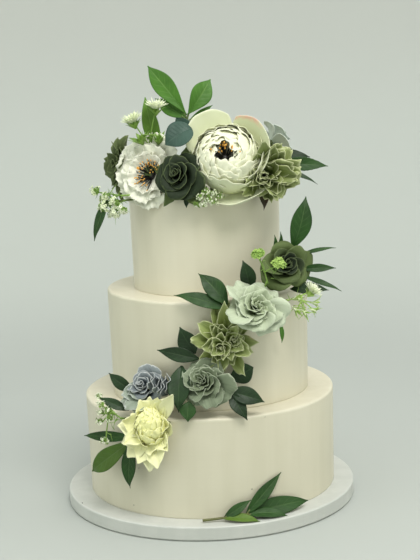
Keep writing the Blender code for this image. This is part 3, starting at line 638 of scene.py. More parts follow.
def rose_layers(rng):
    """A rose: petals on a spiral, the inner ones tight round the axis, the outer ones laid open with
    their rims turned back."""
    count = 19
    depth = np.linspace(0, 1, count)
    wide = depth**1.2
    grids = bent_petals(
        np.radians(GOLDEN_ANGLE * np.arange(count)), 0.03 + 0.10 * depth, 0.24 * (1 - depth) ** 1.5,
        vary(rng, 0.62 + 0.55 * wide, 0.06, count), vary(rng, 0.30 + 0.66 * wide, 0.08, count),
        -4 + 45 * wide, vary(rng, 4 + 76 * wide, 0.08, count), rng, curl=14 + 62 * depth,
        span=2.7 - 1.6 * depth, dip=0.12 + 0.22 * depth, frill=0.02 + 0.045 * depth, waves=2.8,
        ragged=0.012, crumple=0.016, twist=vary(rng, 10.0, 2.0, count),
    )
    return [(grids, depth, 0.0)]


def olive_rose_layers(rng):
    """A rose whose outer petals are of another green."""
    return [(grids, depth, smoothstep((depth - 0.5) / 0.25)) for grids, depth, _ in rose_layers(rng)]


def paged_rose_layers(rng):
    """A rose set to the left, with pale upright petals at its right, whose rims stand side by side
    like pages, a pale petal behind it, and dusty petals that hang low at its left."""
    (rose, depth, _), = rose_layers(rng)
    rose = rose * (0.80, 0.80, 0.95) + (-0.20, 0.0, 0.0)
    pages = 6
    near = np.linspace(0, 1, pages)
    upright = bent_petals(
        np.radians(rng.uniform(-14, 16, pages)), 0.26 + 0.52 * near, -0.02,
        vary(rng, 1.16 - 0.26 * near, 0.06, pages), 0.50, -4 + 10 * near, 2 + 16 * near, rng, curl=24,
        wrap=0.8, span=1.0, dip=0.16, point=2.2, frill=0.12, waves=3.6, ragged=0.02, crumple=0.03,
    )
    laid = {"wrap": 0.9, "span": 1.1, "dip": 0.2, "point": 2.4, "ragged": 0.02}
    low = bent_petals(
        np.radians([192.0, 206.0, 220.0, 234.0, 250.0, 214.0]), 0.14, -0.04,
        np.array([1.16, 1.40, 1.50, 1.56, 1.40, 1.16]), 0.42, 60,
        np.array([76.0, 58.0, 74.0, 60.0, 66.0, 34.0]), rng, curl=20, frill=0.18, waves=3.6,
        crumple=0.03, **laid,
    )
    back = bent_petals(
        np.radians([128.0, 104.0]), 0.12, 0.0, np.array([1.12, 0.96]), 0.56, 50, 60, rng, curl=16,
        frill=0.05, waves=3.0, crumple=0.02, **laid,
    )
    return [
        (rose, depth * 0.45, 0.0), (upright, np.full(pages, 0.8), 0.0), (back, np.ones(2), 0.0),
        (low, np.ones(6), 1.0),
    ]


def open_rose_layers(rng):
    """A rose of a few broad smooth petals, laid wide open and turned back at their rims."""
    count = 11
    depth = np.linspace(0, 1, count)
    grids = bent_petals(
        np.radians(GOLDEN_ANGLE * np.arange(count) + 20), 0.04 + 0.10 * depth, 0.20 * (1 - depth),
        vary(rng, 0.66 + 0.52 * depth, 0.05, count), 0.42 + 0.50 * depth, 2 + 42 * depth,
        14 + 72 * depth, rng, curl=18 + 34 * depth, wrap=0.9, span=2.0 - 0.9 * depth,
        dip=0.12 + 0.14 * depth, point=3.0, frill=0.03, waves=2.6, ragged=0.01, crumple=0.014,
    )
    return [(grids, depth, 0.0)]


def ruffled_layers(rng):
    """A ruffled bloom: a crumpled heart, then wide wavy petals in close layers."""
    count = 25
    depth = np.linspace(0, 1, count)
    grids = bent_petals(
        np.radians(GOLDEN_ANGLE * np.arange(count) + 40 + rng.uniform(-14, 14, count)),
        0.03 + 0.10 * depth, 0.16 * (1 - depth) ** 1.4, vary(rng, 0.54 + 0.60 * depth, 0.07, count),
        vary(rng, 0.28 + 0.70 * depth, 0.10, count), -2 + 48 * depth,
        vary(rng, 10 + 74 * depth, 0.07, count), rng, curl=14 + 26 * depth, span=2.2 - 1.05 * depth,
        dip=0.12 + 0.08 * depth, point=2.8, frill=0.05 + 0.035 * depth, waves=5.0, ragged=0.020,
        crumple=0.045 * (1 - depth) + 0.014, twist=vary(rng, 14.0, 2.0, count), columns=19,
    )
    return [(grids, depth, 0.0)]


def ball_petals(rng, turn, radius, tip, spread, frill, lift, height):
    """Petals laid over a ball, as grids (petals, rows, columns, 3), in shares of a flower's radius.

    Each runs along a great circle from 125 degrees off the axis to the tip's angle, which grows towards
    the sides as the 2.4th power of the share across, with waves. Its sides reach as far from that circle
    as the spread. The distance from the ball's centre is the radius, plus waves that grow to the rim, a
    lift that is a smooth step over the last quarter, and a slant that lays one side over its neighbour."""
    count = len(turn)
    phase = rng.uniform(0, 2 * pi, (5, count, 1, 1))

    def each(value):
        return np.broadcast_to(np.asarray(value, float), count).reshape(-1, 1, 1)

    across = np.linspace(-1, 1, 21).reshape(1, 1, -1)
    along = np.linspace(0, 1, 21).reshape(1, -1, 1)
    rim = each(tip) + 12 * np.abs(across) ** 2.4
    rim = rim + 2.2 * (np.sin(8 * across + phase[0]) + 0.7 * np.sin(15 * across + phase[1]))
    polar = np.radians(125 + (rim - 125) * along)
    side = np.radians(each(spread)) * (0.5 + 0.5 * np.sin(pi / 2 * np.minimum(along / 0.7, 1.0))) * across
    reach = each(radius) + each(lift) * smoothstep((along - 0.75) / 0.25) + 0.045 * across
    reach = reach + each(frill) * along**2.2 * (
        np.sin(4.4 * across + phase[2]) + 0.6 * np.sin(9.2 * across + 3.0 * along + phase[3])
        + 0.4 * np.sin(14.0 * across - 5.0 * along + phase[4])
    )
    radial = reach * np.sin(polar) * np.cos(side)
    axial = height + reach * np.cos(polar) * np.cos(side)
    return headed(radial, reach * np.sin(side), axial, each(turn))


def ball_rings(rng, rings, frill, height):
    """Rings of petals that close over one another in a ball."""
    layers = []
    for count, start, radius, tip, spread, depth in rings:
        grids = ball_petals(
            rng, ring_of(count, start, rng, 10), radius + rng.uniform(-0.012, 0.012, count),
            tip + rng.uniform(-4, 4, count), vary(rng, spread, 0.12, count), frill,
            rng.uniform(-0.02, 0.035, count), height,
        )
        layers.append((grids, np.full(count, depth), 0.0))
    return layers


def peony_layers(rng):
    """A peony: ruffled petals closed over a ball that leaves a small opening, and wide outer petals."""
    layers = ball_rings(rng, (
        (5, 40, 0.64, 21, 40, 0.00), (6, 65, 0.67, 28, 40, 0.08), (6, 20, 0.70, 36, 40, 0.16),
        (7, 45, 0.73, 46, 38, 0.26), (7, 10, 0.76, 57, 38, 0.36), (7, 33, 0.79, 71, 38, 0.48),
        (6, 5, 0.825, 88, 40, 0.60),
    ), 0.026, 0.45)
    cup = bent_petals(
        ring_of(6, 10, rng), 0.0, 0.66, vary(rng, 0.36, 0.08, 6), 0.24, 78, 24, rng, curl=10, wrap=0.9,
        dip=0.12, point=2.4, frill=0.06, ragged=0.012, crumple=0.03, rows=11, columns=13,
    )
    layers.append((cup, np.zeros(6), 0.0))
    front = ball_petals(
        rng, np.radians([-18.0, -106.0]), np.array([0.90, 0.89]), np.array([68.0, 62.0]), 50.0, 0.020,
        0.03, 0.45,
    )
    layers.append((front, np.array([0.7, 0.95]), 0.0))
    outer = bent_petals(
        np.radians([127.0, 22.0, 176.0, -78.0]), 0.15, np.array([0.0, 0.0, -0.02, -0.04]),
        np.array([1.34, 1.37, 1.02, 1.50]), np.array([0.84, 1.16, 0.40, 0.86]),
        np.array([72.0, 80.0, 84.0, 92.0]), np.array([36.0, 6.0, 80.0, 34.0]), rng,
        curl=np.array([4.0, 8.0, 0.0, -30.0]), wrap=0.95, span=1.25, dip=0.20,
        frill=0.018, waves=2.4, ragged=0.006, crumple=0.008, rows=21, columns=25,
    )
    layers.append((outer, np.array([0.98, 0.99, 0.9, 1.0]), np.array([0.0, 1.0, 0.0, 0.0])))
    return layers


def anemone_layers(rng):
    """A ruffled white bloom: three layers of broad petals with frilled rims round an open centre."""
    layers = []
    rings = (
        (7, 0, 0.14, 0.10, 0.60, 0.40, 46, 60, 0.1),
        (9, 25, 0.12, 0.05, 0.84, 0.44, 56, 74, 0.5),
        (10, 5, 0.10, 0.00, 1.06, 0.50, 68, 88, 1.0),
    )
    for count, start, root, rise, length, width, lean_root, lean_tip, depth in rings:
        grids = bent_petals(
            ring_of(count, start, rng, 9), root, rise, vary(rng, length, 0.06, count),
            vary(rng, width, 0.10, count), lean_root, vary(rng, lean_tip, 0.09, count), rng, curl=-12,
            wrap=0.6, span=1.0, dip=0.12, point=2.8, frill=0.100, waves=6.0, ragged=0.018, crumple=0.050,
            columns=25,
        )
        layers.append((grids, np.full(count, depth), 0.0))
    return layers


def pointed_ring(
    rng, count, start, root, rise, length, width, lean_root, lean_tip, depth, loose=1.0, ruffle=1.0,
):
    """One ring of folded, pointed petals. A loose ring is less even, a ruffled one has wavier and
    rounder petals."""
    grids = bent_petals(
        ring_of(count, start, rng, 7 * loose), root, rise, vary(rng, length, 0.09 * loose, count),
        vary(rng, width, 0.14, count), vary(rng, lean_root, 0.10 * loose, count),
        vary(rng, lean_tip, 0.12 * loose, count), rng, curl=rng.uniform(-30, 24, count) * loose, wrap=0.30,
        span=1.0, dip=0.24, point=0.85 + 0.5 * ruffle, peak=0.50, taper=0.60 - 0.1 * ruffle, base=0.42,
        fold=vary(rng, 0.42, 0.6, count), frill=0.10 * ruffle, waves=3.4, ragged=0.014 * ruffle,
        crumple=0.045 * ruffle, twist=rng.uniform(-26, 26, count) * loose, rows=13, columns=11,
    )
    return grids, np.full(count, depth), 0.0


def star_dahlia_layers(rng):
    """A half-open dahlia of broad pointed petals."""
    return [
        pointed_ring(rng, 5, 0, 0.04, 0.14, 0.56, 0.22, 4, 20, 0.0, 1.4),
        pointed_ring(rng, 6, 30, 0.06, 0.10, 0.78, 0.28, 28, 52, 0.4, 1.4),
        pointed_ring(rng, 7, 10, 0.09, 0.05, 1.00, 0.32, 48, 74, 0.7, 1.4),
        pointed_ring(rng, 7, 25, 0.10, 0.00, 1.16, 0.32, 62, 92, 1.0, 1.3),
    ]


def loose_dahlia_layers(rng):
    """A dahlia whose broad ruffled petals fan out in close uneven layers, under a few upright ones."""
    layers = [
        pointed_ring(rng, 5, 70, 0.05, 0.14, 0.66, 0.22, 4, 18, 0.0, 1.8, 2.0),
        pointed_ring(rng, 6, 30, 0.08, 0.11, 0.76, 0.30, 20, 46, 0.25, 1.8, 2.4),
        pointed_ring(rng, 8, 10, 0.10, 0.08, 0.90, 0.34, 36, 66, 0.5, 1.8, 2.6),
        pointed_ring(rng, 9, 25, 0.10, 0.04, 1.02, 0.38, 52, 82, 0.75, 1.6, 2.6),
        pointed_ring(rng, 9, 5, 0.10, 0.00, 1.08, 0.42, 64, 92, 1.0, 1.4, 2.6),
    ]
    upright = bent_petals(
        np.radians([88.0, 64.0, 108.0, 40.0]), 0.10, 0.06, np.array([1.56, 1.26, 1.10, 1.16]), 0.24, 42,
        38, rng, curl=-12, wrap=0.3, dip=0.24, point=1.5, peak=0.5, taper=0.5, base=0.4, fold=0.3,
        frill=0.12, waves=3.4, ragged=0.02, crumple=0.06, columns=11,
    )
    layers.append((upright, np.full(4, 0.6), 0.0))
    return layers


def twin_dahlia_layers(rng):
    """A dahlia with two small rosettes side by side at its heart, over common outer rings, one tall
    petal at its top and a brown-tipped one at its right."""
    layers = []
    for shift, size in (((-0.22, -0.16), 0.98), ((0.28, 0.02), 0.90)):
        for ring in (
            (3, 0, 0.03, 0.30, 0.40, 0.17, 0, 4, 0.0, 1.4, 1.3),
            (4, 30, 0.05, 0.26, 0.46, 0.20, 14, 26, 0.25, 1.5, 1.4),
            (6, 10, 0.06, 0.20, 0.54, 0.22, 30, 48, 0.45, 1.6, 1.5),
        ):
            grids, depth, special = pointed_ring(rng, *ring)
            grids = grids * (size, size, 1.0) + (*shift, 0.0)
            layers.append((grids, depth, special))
    layers.append(pointed_ring(rng, 9, 12, 0.09, 0.14, 0.78, 0.22, 34, 52, 0.6, 2.0, 1.7))
    layers.append(pointed_ring(rng, 10, 30, 0.10, 0.08, 0.92, 0.24, 48, 70, 0.8, 2.0, 1.7))
    layers.append(pointed_ring(rng, 10, 0, 0.10, 0.00, 1.08, 0.25, 62, 92, 1.0, 1.6, 1.6))
    long_petals = bent_petals(
        np.radians([86.0, -8.0]), 0.10, 0.05, np.array([1.36, 1.22]), np.array([0.26, 0.22]), 52,
        np.array([60.0, 84.0]), rng, curl=-10, wrap=0.3, dip=0.3, point=1.2, peak=0.42, taper=0.62,
        base=0.42, fold=0.3, frill=0.06, crumple=0.04, columns=11,
    )
    layers.append((long_petals, np.full(2, 0.9), np.array([0.0, 1.0])))
    return layers


def crumpled_layers(rng):
    """A cream dahlia: broad petals closed over one another in a small dome, over long pointed petals
    spread unevenly."""
    layers = ball_rings(rng, (
        (3, 0, 0.36, -8, 46, 0.00), (4, 30, 0.39, 10, 44, 0.08), (5, 60, 0.42, 27, 42, 0.20),
        (6, 20, 0.45, 46, 42, 0.34), (6, 50, 0.49, 66, 42, 0.50),
    ), 0.024, 0.40)
    layers.append(pointed_ring(rng, 7, 15, 0.12, 0.06, 0.92, 0.30, 66, 42, 0.7, 1.4, 1.2))
    turn = np.radians(
        [46.0, 66.0, 92.0, 118.0, 146.0, 178.0, 204.0, 226.0, 250.0, 272.0, 290.0, 326.0, 8.0]
    )
    length = np.array([1.50, 1.12, 0.86, 0.76, 0.74, 1.10, 1.02, 1.06, 1.02, 1.10, 1.14, 0.84, 0.98])
    half_width = np.array([0.22, 0.24, 0.32, 0.32, 0.32, 0.28, 0.32, 0.34, 0.32, 0.34, 0.34, 0.30, 0.26])
    forward = np.array([50.0, 56.0, 66.0, 70.0, 76.0, 82.0, 84.0, 84.0, 84.0, 86.0, 80.0, 64.0, 52.0])
    grids = bent_petals(
        turn, 0.10, 0.02, length, half_width, vary(rng, 60.0, 0.08, len(turn)), forward, rng,
        curl=rng.uniform(-50, 10, len(turn)), wrap=0.5, span=1.0, dip=0.28, point=1.6, peak=0.56,
        taper=0.46, base=0.42, fold=vary(rng, 0.24, 0.6, len(turn)), frill=0.07, waves=3.2, ragged=0.010,
        crumple=0.045, twist=vary(rng, 14.0, 2.0, len(turn)), rows=17,
    )
    layers.append((grids, np.full(len(turn), 0.95), 0.0))
    return layers


PETAL_MAKERS = {
    "rose": rose_layers,
    "olive_rose": olive_rose_layers,
    "open_rose": open_rose_layers,
    "paged_rose": paged_rose_layers,
    "ruffled": ruffled_layers,
    "peony": peony_layers,
    "anemone": anemone_layers,
    "star_dahlia": star_dahlia_layers,
    "loose_dahlia": loose_dahlia_layers,
    "twin_dahlia": twin_dahlia_layers,
    "crumpled": crumpled_layers,
}


def stamen_paths(rng, count, turns, leans, reach, lift, length):
    """Thin stamens that leave a disc and lean outwards: straight lines with an even upward bend."""
    turn = np.radians(rng.uniform(*turns, count))
    lean = np.radians(rng.uniform(*leans, count))
    start = np.sqrt(rng.uniform(0, 1, count)) * reach
    size = length * rng.uniform(0.72, 1.1, count)
    share = np.linspace(0, 1, 5)[None, :]
    out = start[:, None] + size[:, None] * share * np.sin(lean)[:, None]
    up = lift + size[:, None] * (share * np.cos(lean)[:, None] + 0.10 * share**2)
    return np.stack((out * np.cos(turn)[:, None], out * np.sin(turn)[:, None], up), axis=-1)


def tip_balls(ends, directions, radius, length):
    """Small pods along short straight paths, as (paths, radii): the radius follows half a sine."""
    share = np.linspace(-1, 1, 5)
    paths = ends[:, None, :] + unit(directions)[:, None, :] * (length * share)[None, :, None]
    return paths, radius * np.sqrt(np.maximum(1 - (0.96 * share) ** 2, 0.0))


def pod_line(low, high, steps, cut):
    """Points up a flower's axis, and the share of its full radius that a pod has at each: half a
    circle, cut off at this share of its ends."""
    line = np.linspace(low, high, steps)[:, None] * (0.0, 0.0, 1.0)
    return line, np.sqrt(np.maximum(1 - np.linspace(-cut, cut, steps) ** 2, 0.0))


def facing_axes(facing):
    """Axes whose Z runs along the facing, with Y upwards."""
    return np.array(Vector(facing).to_track_quat("Z", "Y").to_matrix())


def flower_frame(flower):
    """The flower's own axes: Z along its facing, and the origin at its calyx."""
    facing = towards(*flower.facing)
    calyx = around(*flower.centre) - facing * flower.radius * CALYX_SHARE
    return facing_axes(facing), calyx


def into_place(points, flower):
    """Points in shares of the flower's radius, scaled, stretched and moved to its place."""
    axes, calyx = flower_frame(flower)
    return (points * flower.radius * (1.0, flower.stretch, 1.0)) @ axes.T + calyx


def turned_about_axis(points, degrees):
    """The points turned round Z."""
    angle = radians(degrees)
    spin = np.array(((cos(angle), -sin(angle), 0), (sin(angle), cos(angle), 0), (0, 0, 1)))
    return points @ spin.T


def bezier(points, steps):
    """A quadratic curve from the first point to the last, drawn towards the middle one."""
    share = np.linspace(0, 1, steps)[:, None]
    first, middle, last = (np.asarray(point) for point in points)
    return first * (1 - share) ** 2 + middle * 2 * share * (1 - share) + last * share**2


def make_flower(name, flower, settings, materials):
    """A silk flower: its petals, receptacle, sepals and stem, and stamens where it has an open heart."""
    rng = dice(settings, list(FLOWERS).index(name))
    mesh = PieceMesh()
    thickness = settings.petal_thickness
    for grids, depth, special in PETAL_MAKERS[flower.kind](rng):
        grids = turned_about_axis(grids, flower.turn)
        near_heart = np.broadcast_to(1.0 - depth, len(grids)).reshape(-1, 1, 1, 1)
        grids[..., :2] += flower.heart * near_heart * grids[..., 2:]
        grids = clear_of_icing(into_place(grids, flower), thickness)
        chance = rng.uniform(0, 1, len(grids))
        mesh.add_sheets(grids, thickness, np.stack(np.broadcast_arrays(depth, chance, special), axis=-1))
    length, width = LONG_SEPALS.get(name, SEPALS)
    sepals = bent_petals(
        ring_of(5, 18, rng), 0.10, -0.04, vary(rng, length, 0.08, 5), width, 66, 96, rng, wrap=0.4,
        dip=0.3, point=1.2, peak=0.4, taper=0.6, fold=0.2, frill=0.1, rows=11, columns=7,
    )
    sepals = clear_of_icing(into_place(sepals, flower), thickness)
    mesh.add_sheets(sepals, thickness, *((BLUSHED, CLOTH) if name in LONG_SEPALS else (GREEN, STALK)))
    pod, shape = pod_line(-0.06, 0.34, 9, 0.97)
    mesh.add_tubes(into_place(pod, flower)[None], 0.20 * shape * flower.radius, 12, GREEN, STALK)
    _, calyx = flower_frame(flower)
    start = calyx + towards(*flower.facing) * flower.radius * 0.05
    end = nearest_icing(calyx)
    line = bezier((start, (start + end) / 2, end), 5)
    mesh.add_tubes(line[None], FLOWER_STEM_RADIUS, 10, GREEN, STALK)
    if flower.kind in ("peony", "anemone"):
        add_stamens(mesh, flower, rng)
    place_piece(mesh, name, "_silk", materials)


def add_stamens(mesh, flower, rng):
    """Black filaments that fan towards one side, with orange tips and some dark ones, and the dark
    button that they stand on."""
    open_heart = flower.kind == "anemone"
    if open_heart:
        paths = stamen_paths(rng, 84, (20, 290), (10, 72), 0.12, 0.18, 0.44) + (0.10, -0.13, 0.0)
    else:
        paths = stamen_paths(rng, 54, (-20, 200), (8, 58), 0.15, 0.72, 0.34) + (-0.09, -0.22, 0.0)
    ends = paths[:, -1]
    directions = ends - paths[:, -2]
    mesh.add_tubes(into_place(paths, flower), 0.011 * flower.radius, 5, PLAIN, FILAMENT)
    pods, radii = tip_balls(ends, directions, 0.020, 0.034)
    if open_heart:
        bright = rng.uniform(0, 1, len(ends)) < 0.62
    else:
        bright = (ends[:, 1] > -0.14) & (rng.uniform(0, 1, len(ends)) < 0.9)
    mesh.add_tubes(into_place(pods[bright], flower), radii * flower.radius, 6, PLAIN, ANTHER)
    mesh.add_tubes(into_place(pods[~bright], flower), radii * flower.radius * 0.8, 6, PLAIN, FILAMENT)
    button, shape = pod_line(-0.16, 0.08, 7, 0.95)
    button = into_place(button + paths[:, 0].mean(axis=0), flower)
    mesh.add_tubes(button[None], 0.15 * shape * flower.radius, 12, PLAIN, FILAMENT)


# Leaves and stems


def leaf_blade(leaf, rng, rows=27, columns=15):
    """A leaf blade as a grid. The midrib arches from base to tip as half a sine. The half width
    follows half a sine along the leaf, with its peak moved to the fullest share and a drawn-out tip.
    The halves rise from the midrib, dip between side veins and wave along their edges."""
    base, tip = around(*leaf.base), around(*leaf.tip)
    ahead = unit(tip - base)
    face = towards(*leaf.face)
    face = unit(face - ahead * face.dot(ahead))
    sideways = np.cross(ahead, face)
    across = np.linspace(-1, 1, columns)[None, :]
    along = np.linspace(0, 1, rows)[:, None]
    swell = np.sin(pi * along ** (log(0.5) / log(leaf.fullest)))
    half = leaf.width / 2 * np.maximum(swell, 0.0) ** ((0.9 + 0.35 * along) * (1 - leaf.blunt))
    half = np.maximum(half, leaf.width * np.where(along < 0.5, 0.035, 0.012))
    if leaf.teeth:
        half = half * (1 + 0.10 * ((along * leaf.teeth) % 1.0))
    phase = rng.uniform(0, 2 * pi, 3)
    side = across * half
    length = np.linalg.norm(tip - base)
    lift = leaf.arch * np.sin(pi * along) + 0.20 * np.abs(side) * (1 - 0.5 * along)
    lift = lift + 0.030 * leaf.width * np.sin(8.0 * along + 1.5 * across + phase[0]) * np.abs(across)
    veins = np.cos(2 * pi * (8 * along - 1.6 * np.abs(across)))
    lift = lift + 0.008 * leaf.width * veins * np.sin(pi * np.abs(across)) * swell
    lift = lift - 0.05 * length * smoothstep((along - 0.75) / 0.25) ** 2
    sway = 0.02 * length * np.sin(pi * along + 0.6) * np.sin(phase[1])
    middle = base + ahead * (along * length)[..., None]
    return middle + sideways * (side + sway)[..., None] + face * lift[..., None]


def add_leaf(mesh, leaf, rng, thickness):
    """A blade with its raised midrib. The midrib of a pale leaf is as light as its stem."""
    grid = clear_of_icing(leaf_blade(leaf, rng), thickness)
    mesh.add_sheets(grid[None], thickness, (0.5, rng.uniform(0, 1), leaf.pale))
    rib = grid[:, grid.shape[1] // 2]
    radius = leaf.width * 0.022 * (1.15 - np.linspace(0, 1, len(rib)))
    mesh.add_tubes(rib[None], radius, 6, PLAIN, STALK if leaf.pale else CLOTH)


def add_stem(mesh, points, radius, sides=8, steps=9):
    """A round stem along a quadratic curve."""
    mesh.add_tubes(bezier(points, steps)[None], radius, sides, PLAIN, STALK)


def make_sprig(name, sprig, settings, materials):
    """Leaves on a twig, each blade with its midrib, and the stems between them where they show."""
    rng = dice(settings, LEAF_SEED + list(SPRIGS).index(name))
    mesh = PieceMesh()
    for leaf in sprig.leaves:
        add_leaf(mesh, leaf, rng, settings.leaf_thickness)
    if sprig.stemmed:
        bases = [around(*leaf.base) for leaf in sprig.leaves]
        fork = np.mean(bases, axis=0) - (0, 0, STEM_FORK)
        for leaf, base in zip(sprig.leaves, bases):
            into = base + (around(*leaf.tip) - base) * STEM_INTO_LEAF
            add_stem(mesh, (into, base, fork), STEM_RADIUS)
        root = nearest_icing(fork)
        add_stem(mesh, (fork, (fork + root) / 2, root), STEM_RADIUS * 1.2)
    place_piece(mesh, name, "_silk", materials)


def make_base_sprig(settings, materials):
    """The sprig on the drum: a bent woody stem with its leaves."""
    rng = dice(settings, SPRIG_SEED)
    mesh = PieceMesh()
    for leaf in SPRIG_LEAVES:
        add_leaf(mesh, leaf, rng, settings.leaf_thickness)
        base = around(*leaf.base)
        add_stem(mesh, (base, base, base + (around(*leaf.tip) - base) * STEM_INTO_LEAF), STEM_RADIUS)
    points = [around(*place) for place in SPRIG_STEM]
    add_stem(mesh, points, STEM_RADIUS * 1.5, 10, 17)
    place_piece(mesh, "sprig_on_drum", "_silk", materials)


# Filler sprays


def ball_directions(count, rng):
    """Directions spread evenly over a ball: heights in even steps, turned by the golden angle."""
    height = 1 - 2 * (np.arange(count) + 0.5) / count
    turn = GOLDEN_TURN * np.arange(count) + rng.uniform(0, 2 * pi)
    flat = np.sqrt(1 - height**2)
    return np.stack((flat * np.cos(turn), flat * np.sin(turn), height), axis=-1)


def add_florets(mesh, places, facings, size, rng, finish):
    """Tiny blossoms of five petals at these places. Each petal is a short strip that widens from the
    heart and cups up, in the plane square to its blossom's facing."""
    count = len(places)
    pick = np.eye(3)[np.argmin(np.abs(facings), axis=1)]
    first = unit(np.cross(facings, pick))
    second = np.cross(facings, first)
    turn = even_turns(5) + rng.uniform(0, 2 * pi, (count, 1))
    along = np.array((0.08, 0.62, 1.0))
    half = np.array((0.12, 0.46, 0.30))
    lift = np.array((0.0, 0.22, 0.30)) + rng.uniform(-0.1, 0.3, (count, 5, 1))
    side = np.array((-1.0, 1.0))
    radial = np.cos(turn)[..., None] * first[:, None] + np.sin(turn)[..., None] * second[:, None]
    across = -np.sin(turn)[..., None] * first[:, None] + np.cos(turn)[..., None] * second[:, None]
    size = np.broadcast_to(size, count)[:, None, None, None, None]
    grids = (
        radial[:, :, None, None] * along[None, None, :, None, None]
        + across[:, :, None, None] * (half[:, None] * side[None])[None, None, :, :, None]
        + facings[:, None, None, None] * (lift * along)[:, :, :, None, None]
    )
    grids = places[:, None, None, None] + grids * size
    tint = np.stack((np.full(count, 0.6), rng.uniform(0, 1, count), np.zeros(count)), axis=-1)
    grids = grids.reshape(count * 5, 3, 2, 3)
    mesh.add_sheets(grids, FLORET_THICKNESS, np.repeat(tint, 5, axis=0), finish)


def add_thistle(mesh, head, facing, radius, rng, is_open):
    """A fuzzy bud: narrow pointed petals that fan out of a cup of leafy sepals. A closed one shows
    only its sepals."""
    axes = facing_axes(facing)
    if is_open:
        count = 64
        outer = np.sqrt(np.linspace(0.02, 1, count))
        grids = bent_petals(
            np.radians(GOLDEN_ANGLE * np.arange(count)), 0.06 + 0.12 * outer, -0.5,
            vary(rng, 1.50, 0.12, count), vary(rng, 0.095, 0.2, count), 6 + 40 * outer,
            12 + 64 * outer, rng, wrap=0.3, dip=0.2, point=1.2, peak=0.6, taper=0.7, frill=0.3, rows=6,
            columns=3,
        )
        mesh.add_sheets(grids * radius @ axes.T + head, FILLER_THICKNESS, FLUFFY)
    for count, length, width, lean, drop in ((6, 1.15, 0.20, 26, -1.0), (7, 1.45, 0.22, 46, -1.15)):
        sepals = bent_petals(
            ring_of(count, 0, rng, 14), 0.08, drop, vary(rng, length, 0.2, count), width, lean,
            vary(rng, lean * 0.9, 0.3, count), rng, wrap=0.6, dip=0.3, point=1.2, peak=0.4, taper=0.7,
            fold=0.2, curl=24, rows=8, columns=5,
        )
        mesh.add_sheets(sepals * radius @ axes.T + head, FILLER_THICKNESS, FLUFFY, STALK)
    pod, shape = pod_line(-1.2, -0.1, 7, 0.95)
    mesh.add_tubes((pod * radius @ axes.T + head)[None], 0.30 * shape * radius, 8, FLUFFY, STALK)


def add_tuft(mesh, head, facing, radius, rng):
    """A tuft of long narrow leaves that leave their stem together and curve apart, green and pale by
    turns."""
    axes = facing_axes(facing)
    for finish, count, length in ((STALK, 5, 2.3), (CLOTH, 4, 1.9)):
        grids = bent_petals(
            ring_of(count, rng.uniform(0, 360), rng, 24), 0.05, -1.5, vary(rng, length, 0.2, count),
            vary(rng, 0.20, 0.2, count), 8, vary(rng, 46.0, 0.5, count), rng,
            curl=rng.uniform(-30, 50, count), wrap=0.3, dip=0.3, point=1.2, peak=0.5, taper=0.7, fold=0.3,
            frill=0.2, rows=10, columns=5,
        )
        mesh.add_sheets(grids * radius @ axes.T + head, FILLER_THICKNESS, FLUFFY, finish)


def make_spray(name, spray, settings, materials):
    """A filler spray: bent green stems that fork towards each head, the blossoms of the heads, and
    thin curved needles among them."""
    rng = dice(settings, SPRAY_SEED + list(SPRAYS).index(name))
    mesh = PieceMesh()
    root = around(*spray.root)
    ends = np.array([around(*place) for place in spray.heads])
    anchor = nearest_icing(root)
    add_stem(mesh, (root + (ends[0] - root) * 0.1, (root + anchor) / 2, anchor), STEM_RADIUS)
    for index, head in enumerate(ends):
        fork = root + (ends[0] - root) * (0.1 + 0.6 * index / len(ends)) if index else root
        facing = unit(head - root)
        bow = (fork + head) / 2 + rng.uniform(-1, 1, 3) * STALK_BOW
        add_stem(mesh, (fork, bow, head - facing * spray.head_radius * 0.4), STEM_RADIUS * 0.7)
        if spray.form == "thistle":
            radius = spray.head_radius * (1.0 if index < 2 else 1.2)
            add_thistle(mesh, head, unit(facing + (0, 0, 0.6)), radius, rng, index < 2)
        elif spray.form == "tuft" and index == 0:
            add_thistle(mesh, head, unit(facing + (0, 0, 0.8)), spray.head_radius * 1.25, rng, True)
        elif spray.form == "tuft":
            add_tuft(mesh, head, facing, spray.head_radius, rng)
        else:
            add_cluster(mesh, head, facing, spray, rng)
    if spray.needles:
        add_needles(mesh, root, ends, spray, rng)
    place_piece(mesh, name, "_silk", materials)


def add_needles(mesh, root, ends, spray, rng):
    """Thin needles that leave the stems near each head and curve away on a quadratic, tapering."""
    count = spray.needles * len(ends)
    head = np.repeat(ends, spray.needles, axis=0)
    start = root + (head - root) * rng.uniform(0.3, 0.95, (count, 1))
    outward = unit(rng.normal(0, 1, (count, 3)) + unit(head - root) * 0.6)
    reach = spray.head_radius * rng.uniform(1.1, 2.1, (count, 1))
    middle = start + outward * reach * 0.6
    tip = start + outward * reach + rng.normal(0, 0.4, (count, 3)) * spray.head_radius
    paths = clear_of_icing(bezier((start[:, None], middle[:, None], tip[:, None]), 7), NEEDLE_GAP)
    mesh.add_tubes(paths, NEEDLE_RADIUS * (1.1 - np.linspace(0, 1, 7)), 5, PLAIN, STALK)


